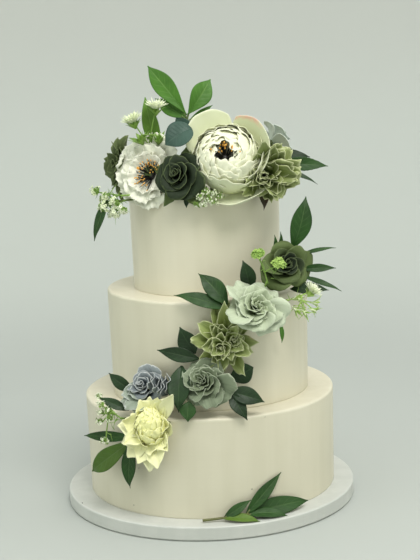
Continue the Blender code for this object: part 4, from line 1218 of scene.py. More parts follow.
def add_cluster(mesh, head, facing, spray, rng):
    """A head of tiny blossoms on hair-thin stalks that spread from the end of its stem."""
    loose = spray.form == "blossom"
    directions = ball_directions(spray.florets * 2, rng)
    directions = directions[directions @ facing > (-0.45 if loose else -0.1)][:spray.florets]
    reach = spray.head_radius * rng.uniform(0.5 if loose else 0.78, 1.05, len(directions))
    hub = head - facing * spray.head_radius * 0.5
    places = head + directions * reach[:, None]
    share = np.linspace(0, 1, 4)[None, :, None]
    paths = hub + (places[:, None] - hub) * share
    mesh.add_tubes(paths, STALK_RADIUS, 4, PLAIN, STALK)
    size = spray.floret * rng.uniform(0.7, 1.25, len(places))
    outward = unit(directions + facing * 0.5)
    young = rng.uniform(0, 1, len(places)) < (0.3 if loose else 0.0)
    add_florets(mesh, places[~young], outward[~young], size[~young], rng, CLOTH)
    if young.any():
        add_florets(mesh, places[young], outward[young], size[young], rng, STALK)
    lifted = places + outward * spray.floret * 0.1
    hearts, radii = tip_balls(lifted, outward, spray.floret * 0.18, spray.floret * 0.2)
    mesh.add_tubes(hearts, radii, 4, PLAIN, STALK)


# Icing and board

# Crumbs and dust: bearing, reach, height and size
SPECKS = (
    (-63.0, 0.1500, 0.0150, 0.0009), (-37.5, 0.1290, 0.0226, 0.0006), (17.9, 0.1308, 0.0423, 0.0007),
    (24.9, 0.1320, 0.1141, 0.0005), (-28.3, 0.1306, 0.0670, 0.0007), (-36.1, 0.1304, 0.0748, 0.0005),
    (-33.1, 0.1305, 0.0634, 0.0006),
)


def make_specks(settings, material):
    """Crumbs and dust on the icing: flattened grains, each a short tube along the icing that swells
    and closes as half an ellipse."""
    rng = dice(settings, ICING_SEED)
    mesh = PieceMesh()
    places = np.array([around(bearing, reach, height) for bearing, reach, height, _ in SPECKS])
    sizes = np.array([size for *_, size in SPECKS])
    along = unit(np.cross(places * (1, 1, 0), (0, 0, 1)) + rng.normal(0, 0.01, places.shape))
    pods, radii = tip_balls(places, along, 1.0, 0.0)
    steps = along[:, None, :] * sizes[:, None, None] * np.linspace(-1, 1, 5)[None, :, None]
    mesh.add_tubes(pods + steps, radii[None] * sizes[:, None] * 0.6, 6)
    piece = mesh.build("specks", [material])
    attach(piece, BODY)


def tier_rings(tier, edge, taper, rng, columns=256):
    """A tier's skin as rings, from its top centre outwards and down.

    The profile is the half section of the tier: flat top, quarter-round edge, a wall that narrows
    towards its foot, and the underside, which is pressed a little into what the tier stands on. Waves
    round the axis, which drift with the height, swell the wall into soft upright bands, and a second
    set raises and lowers the top edge."""
    turn = even_turns(columns)
    flat = np.linspace(0.06, 1.0, 16) ** 0.8 * (tier.radius - edge)
    corner = np.linspace(0, pi / 2, 8)[1:]
    wall = np.linspace(0, 1, 72)[1:]
    height = tier.top - tier.bottom + TIER_SINK
    reach = np.concatenate((
        flat,
        tier.radius - edge + edge * np.sin(corner),
        tier.radius - taper * wall,
        np.linspace(tier.radius - taper, 0.01, 5)[1:],
    ))
    drop = np.concatenate((
        np.zeros(len(flat)),
        edge * (1 - np.cos(corner)),
        edge + (height - edge) * wall,
        np.full(4, height),
    ))
    down = (drop / height)[:, None]
    waves = np.zeros((len(reach), columns))
    ripple = np.zeros((len(reach), columns))
    for order in range(2, 30):
        phase = rng.uniform(0, 2 * pi, 3)
        size = rng.uniform(0.3, 1.0)
        waves += size / order**0.5 * np.sin(order * turn + phase[0] + rng.uniform(-2.5, 2.5) * down)
        if order < 15:
            ripple += size / order * np.sin((order + 2) * turn + phase[1])
    side = smoothstep(drop / edge)[:, None]
    outer = smoothstep((reach - 0.5 * tier.radius) / (0.5 * tier.radius))[:, None]
    top_side = (drop < edge * 1.2)[:, None]
    level = tier.top - drop[:, None] + EDGE_WAVE * ripple * outer * top_side
    return turned_rings(reach[:, None] + WALL_WAVE * waves * side, level, turn, tier.x, tier.y)


def make_tier(tier, settings, material):
    """An iced tier, turned as one closed skin."""
    rng = dice(settings, ICING_SEED + int(tier.radius * 1000))
    mesh = PieceMesh()
    rings = tier_rings(tier, settings.icing_edge, settings.tier_taper, rng)
    mesh.add_turned(rings, (tier.x, tier.y, tier.top), (tier.x, tier.y, tier.bottom))
    place_piece(mesh, tier.name, "_icing", [material])


def drum_rings(edge, rng, columns=256):
    """The drum's skin as rings: a top spread with uneven thin icing, a rounded edge, an upright side
    that waves slightly, a small step in at the bottom edge, and the underside."""
    turn = even_turns(columns)
    flat = np.linspace(0.05, 1.0, 40) * (DRUM_RADIUS - edge)
    corner = np.linspace(0, pi / 2, 8)[1:]
    side = np.linspace(0, 1, 12)[1:]
    foot = DRUM_RADIUS - DRUM_STEP
    reach = np.concatenate((
        flat, DRUM_RADIUS - edge + edge * np.sin(corner), np.full(len(side), DRUM_RADIUS),
        [foot, foot], np.linspace(foot, 0.01, 4)[1:],
    ))
    drop = np.concatenate((
        np.zeros(len(flat)), edge * (1 - np.cos(corner)), edge + (DRUM_TOP - edge - DRUM_FOOT) * side,
        [DRUM_TOP - DRUM_FOOT, DRUM_TOP], np.full(3, DRUM_TOP),
    ))
    uneven = np.zeros((len(reach), columns))
    for order in range(3, 26):
        phase = rng.uniform(0, 2 * pi)
        drift = rng.uniform(-60, 60)
        uneven += rng.uniform(0.2, 1.0) / order**0.7 * np.sin(order * turn + phase + drift * reach[:, None])
    on_top = (drop < edge)[:, None] * smoothstep((reach - 0.09) / 0.03)[:, None]
    on_side = ((drop >= edge) & (drop < DRUM_TOP - DRUM_FOOT))[:, None]
    level = DRUM_TOP - drop[:, None] - DRUM_SMEAR * np.abs(uneven) * on_top
    return turned_rings(reach[:, None] - DRUM_WAVE * np.abs(uneven) * on_side, level, turn)


def make_drum(settings, material):
    """The drum under the cake, covered in thin white icing."""
    rng = dice(settings, DRUM_SEED)
    mesh = PieceMesh()
    mesh.add_turned(drum_rings(settings.drum_edge, rng), (0, 0, DRUM_TOP), (0, 0, 0))
    place_piece(mesh, "cake_drum", "_icing", [material])


# Materials


class Wiring:
    """Adds nodes to a tree and joins them."""

    def __init__(self, tree):
        self.tree = tree

    def node(self, kind, inputs=(), **settings):
        """A new node with these settings and inputs, each a value or another node's output."""
        made = self.tree.nodes.new(kind)
        for key, value in settings.items():
            setattr(made, key, value)
        for key, value in dict(inputs).items():
            if isinstance(value, bpy.types.NodeSocket):
                self.tree.links.new(value, made.inputs[key])
            else:
                made.inputs[key].default_value = value
        return made

    def math(self, operation, first, second=0.0):
        """One sum worked out by a math node."""
        return self.node("ShaderNodeMath", {0: first, 1: second}, operation=operation).outputs[0]

    def times(self, first, second):
        """The product of two values."""
        return self.math("MULTIPLY", first, second)

    def plus(self, first, second):
        """The sum of two values."""
        return self.math("ADD", first, second)

    def minus(self, first, second):
        """The first value less the second."""
        return self.math("SUBTRACT", first, second)

    def span(self, value, low, high, to_low=0.0, to_high=1.0):
        """The value mapped from one range to another, with smooth ends."""
        inputs = {"Value": value, "From Min": low, "From Max": high, "To Min": to_low, "To Max": to_high}
        return self.node("ShaderNodeMapRange", inputs, interpolation_type="SMOOTHSTEP").outputs[0]

    def mix(self, share, first, second):
        """One colour mixed into another."""
        return self.node("ShaderNodeMix", {0: share, 6: first, 7: second}, data_type="RGBA").outputs[2]

    def noise(self, vector, scale, detail=2.0, roughness=0.5):
        """Cloudy noise between 0 and 1."""
        inputs = {"Vector": vector, "Scale": scale, "Detail": detail, "Roughness": roughness}
        return self.node("ShaderNodeTexNoise", inputs).outputs["Fac"]

    def stretched(self, vector, scale):
        """The vector scaled along its axes."""
        return self.node("ShaderNodeMapping", {"Vector": vector, "Scale": scale}).outputs["Vector"]


WHITE = (1.0, 1.0, 1.0, 1.0)
COLOUR = "NodeSocketColor"
NUMBER = "NodeSocketFloat"


def new_group(name, colours, numbers):
    """A node group with these inputs, which puts out a colour, a roughness and a height, as its wiring
    and its inputs."""
    group = bpy.data.node_groups.new(name, "ShaderNodeTree")
    for label in colours:
        group.interface.new_socket(label, in_out="INPUT", socket_type=COLOUR).default_value = WHITE
    for label, value in numbers.items():
        group.interface.new_socket(label, in_out="INPUT", socket_type=NUMBER).default_value = value
    for label, kind in (("Colour", COLOUR), ("Roughness", NUMBER), ("Height", NUMBER)):
        group.interface.new_socket(label, in_out="OUTPUT", socket_type=kind)
    wiring = Wiring(group)
    return wiring, wiring.node("NodeGroupInput").outputs


def close_group(wiring, colour, rough, height):
    """Joins what the group puts out, and gives the group back."""
    wiring.node("NodeGroupOutput", {"Colour": colour, "Roughness": rough, "Height": height})
    return wiring.tree


def cloth_inputs(wiring):
    """Place on the object, shares across and along the sheet, nearness to its sides, and the tint."""
    place = wiring.node("ShaderNodeTexCoord").outputs
    split = wiring.node("ShaderNodeSeparateXYZ", {0: place["UV"]}).outputs
    tint = wiring.node("ShaderNodeAttribute", attribute_name="tint").outputs["Color"]
    shares = wiring.node("ShaderNodeSeparateColor", {0: tint}).outputs
    side = wiring.math("ABSOLUTE", wiring.times(wiring.minus(split[0], 0.5), 2.0))
    return place["Object"], split[0], split[1], side, shares


def petal_group():
    """Silk petal: a colour from heart to outer petals, a root colour towards the base that is partly the
    base's own tint and partly painted shade where petals overlap, a pale rim, fine lines that fan
    along the petal, a blush on chosen petals, and a woven bump."""
    wiring, given = new_group("silk_petal", ("Heart", "Outer", "Rim", "Root", "Blush"), {
        "Rim Width": 0.1, "Rim Strength": 0.7, "Line Strength": 0.3, "Tip Strength": 0.1,
        "Blush Cover": 0.0,
    })
    place, across, along, side, shares = cloth_inputs(wiring)
    depth, chance, special = shares[0], shares[1], shares[2]
    fine = wiring.noise(place, 260.0, 3.0)
    width = wiring.times(given["Rim Width"], wiring.span(fine, 0.25, 0.75, 0.4, 1.6))
    start = wiring.minus(1.0, width)
    on_end = wiring.span(along, start, 1.0)
    on_side = wiring.times(wiring.span(side, start, 1.0), wiring.span(along, 0.2, 0.6))
    rim = wiring.math("MAXIMUM", on_end, on_side)
    fan = wiring.node("ShaderNodeCombineXYZ", {
        0: wiring.times(across, 26.0), 1: wiring.times(along, 1.6), 2: wiring.times(chance, 30.0),
    }).outputs[0]
    lines = wiring.noise(fan, 1.0, 3.0, 0.6)
    colour = wiring.mix(depth, given["Heart"], given["Outer"])
    # Towards the base the colour turns to the root colour: partly the petal's own base tint, partly painted
    # shade where the petals overlap
    base_tint_and_painted_shade = wiring.span(along, 0.55, 0.0, 0.0, 0.85)
    colour = wiring.mix(base_tint_and_painted_shade, colour, given["Root"])
    shade = wiring.times(wiring.span(lines, 0.62, 0.30), given["Line Strength"])
    colour = wiring.mix(shade, colour, given["Root"])
    varied = wiring.times(wiring.span(chance, 0.4, 1.0), 0.28)
    colour = wiring.mix(varied, colour, given["Heart"])
    patch = wiring.times(wiring.span(along, 0.82, 1.0), wiring.span(across, 0.52, 0.78))
    patch = wiring.times(patch, wiring.span(fine, 0.30, 0.56))
    blushed = wiring.times(special, wiring.math("MAXIMUM", patch, given["Blush Cover"]))
    colour = wiring.mix(blushed, colour, given["Blush"])
    tip = wiring.times(wiring.span(along, 0.45, 1.0), given["Tip Strength"])
    colour = wiring.mix(tip, colour, given["Rim"])
    colour = wiring.mix(wiring.times(rim, given["Rim Strength"]), colour, given["Rim"])
    weave = wiring.noise(place, 2200.0, 2.0)
    height = wiring.plus(wiring.times(lines, 0.8), wiring.times(weave, 0.35))
    rough = wiring.span(wiring.plus(lines, fine), 0.6, 1.4, 0.58, 0.78)
    return close_group(wiring, colour, rough, height)


def leaf_group():
    """Silk leaf: a blade that darkens towards its middle, a pale midrib, side veins that run forward
    from it, mottling, and a bump that follows the veins."""
    wiring, given = new_group(
        "silk_leaf", ("Blade", "Shade", "Vein", "Young"), {"Vein Strength": 0.4, "Side Veins": 8.0}
    )
    place, _, along, side, shares = cloth_inputs(wiring)
    mottle = wiring.noise(place, 120.0, 4.0, 0.6)
    patch = wiring.noise(place, 34.0, 2.0)
    slant = wiring.minus(along, wiring.times(side, 0.20))
    waver = wiring.plus(slant, wiring.times(mottle, 0.03))
    turns = wiring.math("FRACT", wiring.times(waver, given["Side Veins"]))
    crest = wiring.math("ABSOLUTE", wiring.minus(turns, 0.5))
    side_vein = wiring.times(wiring.span(crest, 0.09, 0.0), wiring.span(side, 1.0, 0.5))
    midrib = wiring.span(side, 0.09, 0.02)
    veins = wiring.math("MAXIMUM", midrib, wiring.times(side_vein, 0.55))
    blend = wiring.plus(wiring.span(patch, 0.35, 0.65, 0.0, 0.6), wiring.span(mottle, 0.3, 0.7, 0.0, 0.3))
    colour = wiring.mix(blend, given["Blade"], given["Shade"])
    dim = wiring.times(shares[1], wiring.span(side, 0.7, 0.0, 0.1, 0.45))
    colour = wiring.mix(dim, colour, given["Shade"])
    colour = wiring.mix(shares[2], colour, given["Young"])
    colour = wiring.mix(wiring.times(veins, given["Vein Strength"]), colour, given["Vein"])
    weave = wiring.noise(place, 1800.0, 2.0)
    height = wiring.minus(wiring.times(weave, 0.2), wiring.times(veins, 0.8))
    rough = wiring.span(mottle, 0.3, 0.7, 0.42, 0.60)
    return close_group(wiring, colour, rough, height)


def icing_group():
    """Spread icing: slow cloudy colour, darker upright bands of painted sheen, upright and level marks
    of the scraper, and pinholes.
    """
    wiring, given = new_group("spread_icing", ("Icing", "Shade"), {"Mark Scale": 1.0, "Satin": 0.42})
    place = wiring.node("ShaderNodeTexCoord").outputs["Object"]
    cloud = wiring.noise(place, 11.0, 3.0, 0.55)
    upright = wiring.noise(wiring.stretched(place, (46.0, 46.0, 3.0)), 1.0, 3.0, 0.5)
    level = wiring.noise(wiring.stretched(place, (7.0, 7.0, 300.0)), given["Mark Scale"], 4.0, 0.6)
    grain = wiring.noise(place, 1400.0, 2.0)
    pits = wiring.node("ShaderNodeTexVoronoi", {"Vector": place, "Scale": 240.0}).outputs["Distance"]
    pit = wiring.times(wiring.span(pits, 0.10, 0.02), wiring.span(cloud, 0.50, 0.62))
    # The upright bands of colour are painted sheen: darker streaks that stand in for the satin reflections
    clouds, bands = wiring.span(cloud, 0.35, 0.65, 0.0, 0.5), wiring.span(upright, 0.35, 0.65, 0.0, 0.5)
    blend = wiring.plus(clouds, bands)
    colour = wiring.mix(blend, given["Icing"], given["Shade"])
    rough = wiring.plus(given["Satin"], wiring.span(upright, 0.3, 0.7, -0.05, 0.09))
    height = wiring.plus(wiring.times(upright, 0.9), wiring.times(level, 0.25))
    height = wiring.plus(height, wiring.times(grain, 0.04))
    height = wiring.minus(height, wiring.times(pit, 0.3))
    return close_group(wiring, colour, rough, height)


# Bump strength and depth, and gloss, of each kind of surface
Surface = namedtuple("Surface", "bump depth gloss", defaults=(0.5,))
SILK = Surface(0.35, 0.0006, 0.22)
LEAF_CLOTH = Surface(0.4, 0.0005, 0.30)
PLAIN_CLOTH = Surface(0.3, 0.0003)
ICING_SKINS = {"icing": Surface(0.5, 0.0008), "board": Surface(0.6, 0.0010)}


def finish_material(name, group, values, surface):
    """A Principled material whose colour, roughness and bump come from a group, with these values."""
    material = bpy.data.materials.new(name)
    material.use_nodes = True
    wiring = Wiring(material.node_tree)
    shader = material.node_tree.nodes["Principled BSDF"].inputs
    shader["Specular IOR Level"].default_value = surface.gloss
    full = {key: (*value, 1.0) if isinstance(value, tuple) else value for key, value in values.items()}
    made = wiring.node("ShaderNodeGroup", full, node_tree=group).outputs
    bump = {"Height": made["Height"], "Strength": surface.bump, "Distance": surface.depth}
    links = material.node_tree.links
    links.new(made["Colour"], shader["Base Color"])
    links.new(made["Roughness"], shader["Roughness"])
    links.new(wiring.node("ShaderNodeBump", bump).outputs["Normal"], shader["Normal"])
    return material


# Screen colours and strengths of the petals, in the order of the inputs that they fill
PETAL_INPUTS = (
    "Heart", "Outer", "Rim", "Root", "Rim Width", "Rim Strength", "Tip Strength", "Line Strength",
)
# The root colours are partly each petal's own base tint and partly painted shade at the base
PETAL_COLOURS = {
    "petal_dark_green": ((20, 30, 22), (34, 47, 28), (100, 114, 74), (11, 16, 10), 0.06, 0.62, 0.06, 0.40),
    # The cream's outer colour is darker than its heart as painted shade on the outer petals
    "petal_cream": (
        (230, 231, 206), (210, 215, 184), (246, 245, 228), (214, 222, 160), 0.03, 0.3, 0.0, 0.06,
    ),
    "petal_white": (
        (234, 234, 218), (232, 233, 216), (242, 241, 230), (214, 218, 192), 0.03, 0.3, 0.0, 0.10,
    ),
    "petal_olive": ((88, 102, 42), (134, 150, 76), (210, 215, 172), (48, 60, 20), 0.09, 0.66, 0.20, 0.42),
    "petal_dusty": ((62, 74, 40), (90, 104, 62), (124, 136, 92), (40, 50, 28), 0.06, 0.5, 0.1, 0.35),
    "petal_grey": (
        (178, 190, 180), (208, 216, 206), (214, 220, 212), (186, 197, 186), 0.04, 0.4, 0.0, 0.14,
    ),
    "petal_pale_sage": (
        (154, 168, 128), (190, 200, 176), (212, 220, 200), (134, 148, 106), 0.04, 0.5, 0.1, 0.20,
    ),
    "petal_sage": ((84, 98, 64), (130, 142, 118), (188, 197, 174), (54, 65, 42), 0.05, 0.60, 0.1, 0.30),
    "petal_blue": ((74, 85, 94), (130, 140, 142), (212, 216, 213), (46, 54, 62), 0.07, 0.7, 0.16, 0.34),
    "petal_yellow": (
        (244, 243, 172), (231, 231, 192), (250, 250, 218), (236, 235, 150), 0.03, 0.3, 0.0, 0.08,
    ),
}

# Colour of the blush on a flower's chosen petals, and where it isn't only at their tips, its strength
BLUSHES = {
    "petal_cream": (228, 176, 158), "petal_blue": (132, 146, 124), "petal_olive": (126, 84, 58),
    "petal_dark_green": (92, 108, 62),
}
BLUSH_COVERS = {"petal_blue": 0.85, "petal_dark_green": 0.85}

# Screen colours of the leaves and strength of their veins, in the order of their inputs
LEAF_INPUTS = ("Blade", "Shade", "Vein", "Young", "Vein Strength")
LEAF_COLOURS = {
    "leaf_light": ((74, 122, 36), (52, 94, 26), (128, 160, 84), (130, 160, 60), 0.32),
    "leaf_green": ((40, 77, 25), (26, 54, 18), (92, 120, 70), (112, 142, 46), 0.38),
    "leaf_dark": ((33, 60, 27), (20, 39, 18), (70, 98, 56), (90, 116, 60), 0.30),
    "leaf_teal": ((56, 84, 72), (42, 66, 56), (92, 116, 102), (96, 120, 100), 0.25),
    "leaf_brown": ((80, 48, 38), (42, 48, 26), (100, 86, 60), (90, 90, 50), 0.30),
}

# Colour and shade of the stems, the filaments and anthers, the crumbs and the florets
PLAIN_COLOURS = {
    "stem": ((96, 116, 58), (70, 88, 42)),
    "stem_bright": ((136, 170, 78), (98, 134, 50)),
    "stem_woody": ((112, 118, 62), (84, 86, 46)),
    "stamen": ((30, 28, 24), (18, 17, 15)),
    "anther": ((250, 196, 96), (238, 168, 66)),
    "speck": ((70, 70, 58), (44, 44, 36)),
    "filler_white": ((246, 249, 230), (220, 231, 184)),
    "filler_green": ((186, 212, 118), (146, 184, 84)),
}


def group_values(names, row):
    """The inputs of a group from a row of a table, with its screen colours made linear."""
    return {name: srgb(*value) if isinstance(value, tuple) else value for name, value in zip(names, row)}


class Finishes:
    """The cake's materials, each made when it is first asked for."""

    def __init__(self):
        self.petal_group = petal_group()
        self.leaf_group = leaf_group()
        self.icing_group = icing_group()
        self.made = {}

    def get(self, name):
        """The material of this name."""
        if name not in self.made:
            self.made[name] = self.make(name)
        return self.made[name]

    def make(self, name):
        """A new petal, leaf, plain or icing material."""
        if name in PETAL_COLOURS:
            values = group_values(PETAL_INPUTS, PETAL_COLOURS[name])
            values["Blush"] = srgb(*BLUSHES[name]) if name in BLUSHES else values["Rim"]
            values["Blush Cover"] = BLUSH_COVERS.get(name, 0.0)
            return finish_material(name, self.petal_group, values, SILK)
        if name in LEAF_COLOURS:
            values = group_values(LEAF_INPUTS, LEAF_COLOURS[name])
            return finish_material(name, self.leaf_group, values, LEAF_CLOTH)
        if name in PLAIN_COLOURS:
            base, shade = PLAIN_COLOURS[name]
            values = group_values(LEAF_INPUTS, (base, shade, base, base, 0.0))
            return finish_material(name, self.leaf_group, values, PLAIN_CLOTH)
        settings = bpy.context.scene.cake_settings
        colours = getattr(settings, name + "_colour"), getattr(settings, name + "_shade")
        values = dict(zip(("Icing", "Shade"), map(tuple, colours)))
        return finish_material(name, self.icing_group, values, ICING_SKINS[name])


# Set by the step that prepares the finishes
finishes = None


def flower_materials(flower):
    """Petals, green parts, filaments and anthers of a flower."""
    return [finishes.get(name) for name in (flower.finish, "stem", "stamen", "anther")]


# The stage


# The cove: height of its wall above the bend, how far from the cake the floor's colour starts and
# ends its change from the painted shade near the cake to the far colour, and the height at which the
# wall's colour starts
COVE_WALL = 1.6
FLOOR_NEAR = 0.5
FLOOR_FAR = 1.5
WALL_START = 0.1


def make_stage(settings):
    """A round cove: a level floor that curves up into a wall, turned as one surface round the cake. Its
    section is a line, a quarter circle and a line."""
    floor = np.linspace(0.02, 1.0, 12) * (settings.cove_radius - settings.cove_bend)
    corner = np.linspace(0, pi / 2, 24)[1:]
    wall = np.linspace(0, COVE_WALL, 5)[1:]
    reach = np.concatenate((
        floor,
        settings.cove_radius - settings.cove_bend + settings.cove_bend * np.sin(corner),
        np.full(len(wall), settings.cove_radius),
    ))
    height = np.concatenate((
        np.zeros(len(floor)), settings.cove_bend * (1 - np.cos(corner)), settings.cove_bend + wall,
    ))
    rings = turned_rings(reach[:, None], height[:, None], even_turns(96))
    points = np.concatenate((rings.reshape(-1, 3), [(0, 0, 0)]))
    walls, cap, _ = ring_faces(*rings.shape[:2])
    mesh = bpy.data.meshes.new("cove")
    mesh.from_pydata(points, [], walls.tolist() + cap.tolist())
    mesh.polygons.foreach_set("use_smooth", np.ones(len(mesh.polygons), bool))
    material = bpy.data.materials.new("cove")
    material.use_nodes = True
    shader = material.node_tree.nodes["Principled BSDF"]
    shader.inputs["Roughness"].default_value = 0.9
    wiring = Wiring(material.node_tree)
    place = wiring.node("ShaderNodeTexCoord").outputs["Object"]
    height = wiring.node("ShaderNodeSeparateXYZ", {0: place}).outputs[2]
    reach = wiring.node("ShaderNodeVectorMath", {0: place}, operation="LENGTH").outputs["Value"]
    # Painted shade: the floor is darker near the cake and turns to the far colour further out
    near, far = (*settings.near_floor_painted_shade, 1.0), (*settings.far_colour, 1.0)
    colour = wiring.mix(wiring.span(reach, FLOOR_NEAR, FLOOR_FAR), near, far)
    rise = wiring.span(height, WALL_START, settings.cove_bend * 0.5)
    colour = wiring.mix(rise, colour, (*settings.cove_colour, 1.0))
    material.node_tree.links.new(colour, shader.inputs["Base Color"])
    mesh.materials.append(material)
    cove = bpy.data.objects.new("cove", mesh)
    bpy.context.scene.collection.objects.link(cove)
    cove.visible_shadow = False


# Lights: place, length of an edge, and colour
LIGHTS = {
    "key": ((0.35, -0.88, 1.62), 0.7, (1.0, 0.975, 0.94)),
    "fill": ((-1.3, -0.9, 0.7), 1.2, (0.95, 1.0, 0.96)),
    "side": ((1.5, -0.5, 0.8), 1.2, (1.0, 1.0, 0.96)),
}
LIGHT_AIM = (0.0, 0.0, 0.22)


def add_soft_light(name, power):
    """A wide square light that looks at a point of the cake."""
    place, size, colour = LIGHTS[name]
    light = bpy.data.lights.new(name, "AREA")
    light.shape = "RECTANGLE"
    light.size = light.size_y = size
    light.energy = power
    light.color = colour
    lamp = bpy.data.objects.new(name, light)
    bpy.context.scene.collection.objects.link(lamp)
    lamp.location = place
    lamp.rotation_euler = (Vector(LIGHT_AIM) - Vector(place)).to_track_quat("-Z", "Y").to_euler()
    lamp.visible_camera = False


def make_lights(settings):
    """Soft studio light: a wide key above the camera to the right, weaker lights from the left and
    from the right, and an even sky."""
    world = bpy.data.worlds.new("studio")
    world.use_nodes = True
    background = world.node_tree.nodes["Background"]
    background.inputs["Color"].default_value = (*settings.sky_colour, 1.0)
    background.inputs["Strength"].default_value = settings.sky_strength
    bpy.context.scene.world = world
    for name in LIGHTS:
        add_soft_light(name, getattr(settings, name + "_power"))


def make_camera():
    """The camera, pitched down and rolled slightly, as the photograph was taken."""
    data = bpy.data.cameras.new("camera")
    data.lens = CAMERA_LENS
    data.sensor_width = CAMERA_SENSOR
    camera = bpy.data.objects.new("camera", data)
    bpy.context.scene.collection.objects.link(camera)
    ahead = Vector((0, cos(CAMERA_PITCH), -sin(CAMERA_PITCH)))
    above = Vector((0, sin(CAMERA_PITCH), cos(CAMERA_PITCH)))
    right = Vector((1, 0, 0))
    x_axis = right * cos(CAMERA_ROLL) - above * sin(CAMERA_ROLL)
    y_axis = right * sin(CAMERA_ROLL) + above * cos(CAMERA_ROLL)
    turn = Matrix((x_axis, y_axis, -ahead)).transposed().to_4x4()
    camera.matrix_world = Matrix.Translation(CAMERA_PLACE) @ turn
    bpy.context.scene.camera = camera


# Settings, operators and panel


class CakeSettings(bpy.types.PropertyGroup):
    """Seed, sizes and colours of the cake."""

    seed: IntProperty(name="Seed", description="Start of every random choice", default=11)
    icing_colour: colour_property("Icing", "Colour of the icing", srgb(214, 209, 188))
    # The icing shade colour paints the cloudy patches and also the darker upright bands of painted sheen
    icing_shade: colour_property("Icing shade", "Colour of the icing's cloudy patches", srgb(207, 202, 180))
    board_colour: colour_property("Board", "Colour of the board", srgb(200, 202, 196))
    # The board shade colour paints the smears and also darker upright bands of painted sheen
    board_shade: colour_property("Board shade", "Colour of the board's smears", srgb(190, 193, 187))
    icing_edge: length_property("Icing edge", "Radius of a tier's top edge", 0.0028)
    tier_taper: length_property("Tier taper", "How much narrower a tier is at its foot", 0.0016)
    drum_edge: length_property("Board edge", "Radius of the board's top edge", 0.0016)
    petal_thickness: length_property("Petal thickness", "Thickness of the petals", 0.00032)
    leaf_thickness: length_property("Leaf thickness", "Thickness of the leaves", 0.0004)


class StudioSettings(bpy.types.PropertyGroup):
    """Sizes, colours and light of the studio."""

    cove_radius: length_property("Cove radius", "Distance from the cake to the wall", 2.6)
    cove_bend: length_property("Cove bend", "Radius of the bend between floor and wall", 1.2)
    cove_colour: colour_property("Wall colour", "Colour of the wall", srgb(199, 202, 196))
    # The floor near the cake is painted darker than the far floor: painted shade
    near_floor_painted_shade: colour_property("Floor colour", "Colour of the floor near the cake", srgb(175, 180, 175))
    far_colour: colour_property("Far floor colour", "Colour of the floor far away", srgb(203, 208, 202))
    sky_colour: colour_property("Sky colour", "Colour of the light from above", (0.985, 1.0, 0.985))
    sky_strength: FloatProperty(name="Sky strength", description="Light from above", default=1.27, min=0.0)
    key_power: power_property("Key", "Main light", 18.5)
    fill_power: power_property("Fill", "Light from the left", 5.0)
    side_power: power_property("Side", "Light from the right", 4.2)


class CAKE_OT_finishes(bpy.types.Operator):
    """Build the shared node groups that the materials use"""

    bl_idname = "cake.finishes"
    bl_label = "Prepare finishes"

    def execute(self, context):
        global finishes
        finishes = Finishes()
        return {"FINISHED"}


class CAKE_OT_drum(bpy.types.Operator):
    """Make the iced board"""

    bl_idname = "cake.drum"
    bl_label = "Make board"

    def execute(self, context):
        make_drum(context.scene.cake_settings, finishes.get("board"))
        return {"FINISHED"}


class CAKE_OT_tiers(bpy.types.Operator):
    """Make the three iced tiers"""

    bl_idname = "cake.tiers"
    bl_label = "Make tiers"

    def execute(self, context):
        for tier in TIERS:
            make_tier(tier, context.scene.cake_settings, finishes.get("icing"))
        return {"FINISHED"}


class CAKE_OT_flowers(bpy.types.Operator):
    """Make the silk flowers"""

    bl_idname = "cake.flowers"
    bl_label = "Make flowers"

    def execute(self, context):
        for name, flower in FLOWERS.items():
            make_flower(name, flower, context.scene.cake_settings, flower_materials(flower))
        return {"FINISHED"}


class CAKE_OT_leaves(bpy.types.Operator):
    """Make the leaves among the flowers"""

    bl_idname = "cake.leaves"
    bl_label = "Make leaves"

    def execute(self, context):
        for name, sprig in SPRIGS.items():
            materials = [finishes.get(sprig.finish), finishes.get("stem")]
            make_sprig(name, sprig, context.scene.cake_settings, materials)
        return {"FINISHED"}


class CAKE_OT_base_sprig(bpy.types.Operator):
    """Make the loose sprig on the board"""

    bl_idname = "cake.base_sprig"
    bl_label = "Make loose sprig"

    def execute(self, context):
        materials = [finishes.get("leaf_green"), finishes.get("stem_woody")]
        make_base_sprig(context.scene.cake_settings, materials)
        return {"FINISHED"}


class CAKE_OT_fillers(bpy.types.Operator):
    """Make the filler sprays"""

    bl_idname = "cake.fillers"
    bl_label = "Make filler sprays"

    def execute(self, context):
        for name, spray in SPRAYS.items():
            stem = "filler_green" if spray.form == "tuft" else "stem_bright"
            materials = [finishes.get(spray.look), finishes.get(stem)]
            make_spray(name, spray, context.scene.cake_settings, materials)
        return {"FINISHED"}


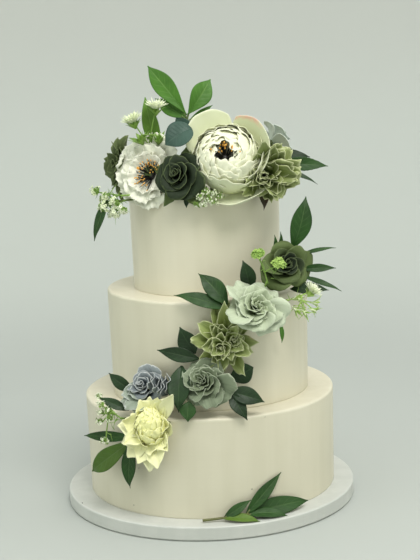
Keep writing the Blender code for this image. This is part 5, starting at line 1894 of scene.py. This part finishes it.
class CAKE_OT_specks(bpy.types.Operator):
    """Scatter the crumbs and dust that lie on the icing"""

    bl_idname = "cake.specks"
    bl_label = "Make specks"

    def execute(self, context):
        make_specks(context.scene.cake_settings, finishes.get("speck"))
        return {"FINISHED"}


class CAKE_OT_stage(bpy.types.Operator):
    """Make the floor, the light and the camera"""

    bl_idname = "cake.stage"
    bl_label = "Make studio"

    def execute(self, context):
        settings = context.scene.studio_settings
        make_stage(settings)
        make_lights(settings)
        make_camera()
        return {"FINISHED"}


class CAKE_PT_panel(bpy.types.Panel):
    """Lists the steps that make the cake"""

    bl_idname = "CAKE_PT_panel"
    bl_label = "Tiered cake"
    bl_space_type = "VIEW_3D"
    bl_region_type = "UI"
    bl_category = "Cake"

    def draw(self, context):
        for settings in (context.scene.cake_settings, context.scene.studio_settings):
            for key in settings.__annotations__:
                self.layout.prop(settings, key)
        for operator in OPERATORS:
            self.layout.operator(operator.bl_idname)


OPERATORS = (
    CAKE_OT_stage,
    CAKE_OT_finishes,
    CAKE_OT_drum,
    CAKE_OT_tiers,
    CAKE_OT_flowers,
    CAKE_OT_leaves,
    CAKE_OT_base_sprig,
    CAKE_OT_fillers,
    CAKE_OT_specks,
)


CLASSES = (CakeSettings, StudioSettings, *OPERATORS, CAKE_PT_panel)


def register():
    """Adds the settings, the operators and the panel."""
    for made in CLASSES:
        bpy.utils.register_class(made)
    bpy.types.Scene.cake_settings = PointerProperty(type=CakeSettings)
    bpy.types.Scene.studio_settings = PointerProperty(type=StudioSettings)


def unregister():
    """Takes them away again."""
    del bpy.types.Scene.studio_settings
    del bpy.types.Scene.cake_settings
    for made in reversed(CLASSES):
        bpy.utils.unregister_class(made)


def main():
    """Registers the add-on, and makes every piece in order."""
    register()
    bpy.ops.cake.stage()
    bpy.ops.cake.finishes()
    bpy.ops.cake.drum()
    bpy.ops.cake.tiers()
    bpy.ops.cake.flowers()
    bpy.ops.cake.leaves()
    bpy.ops.cake.base_sprig()
    bpy.ops.cake.fillers()
    bpy.ops.cake.specks()
    bpy.context.scene.view_settings.view_transform = "Standard"


if __name__ == "__main__":
    main()
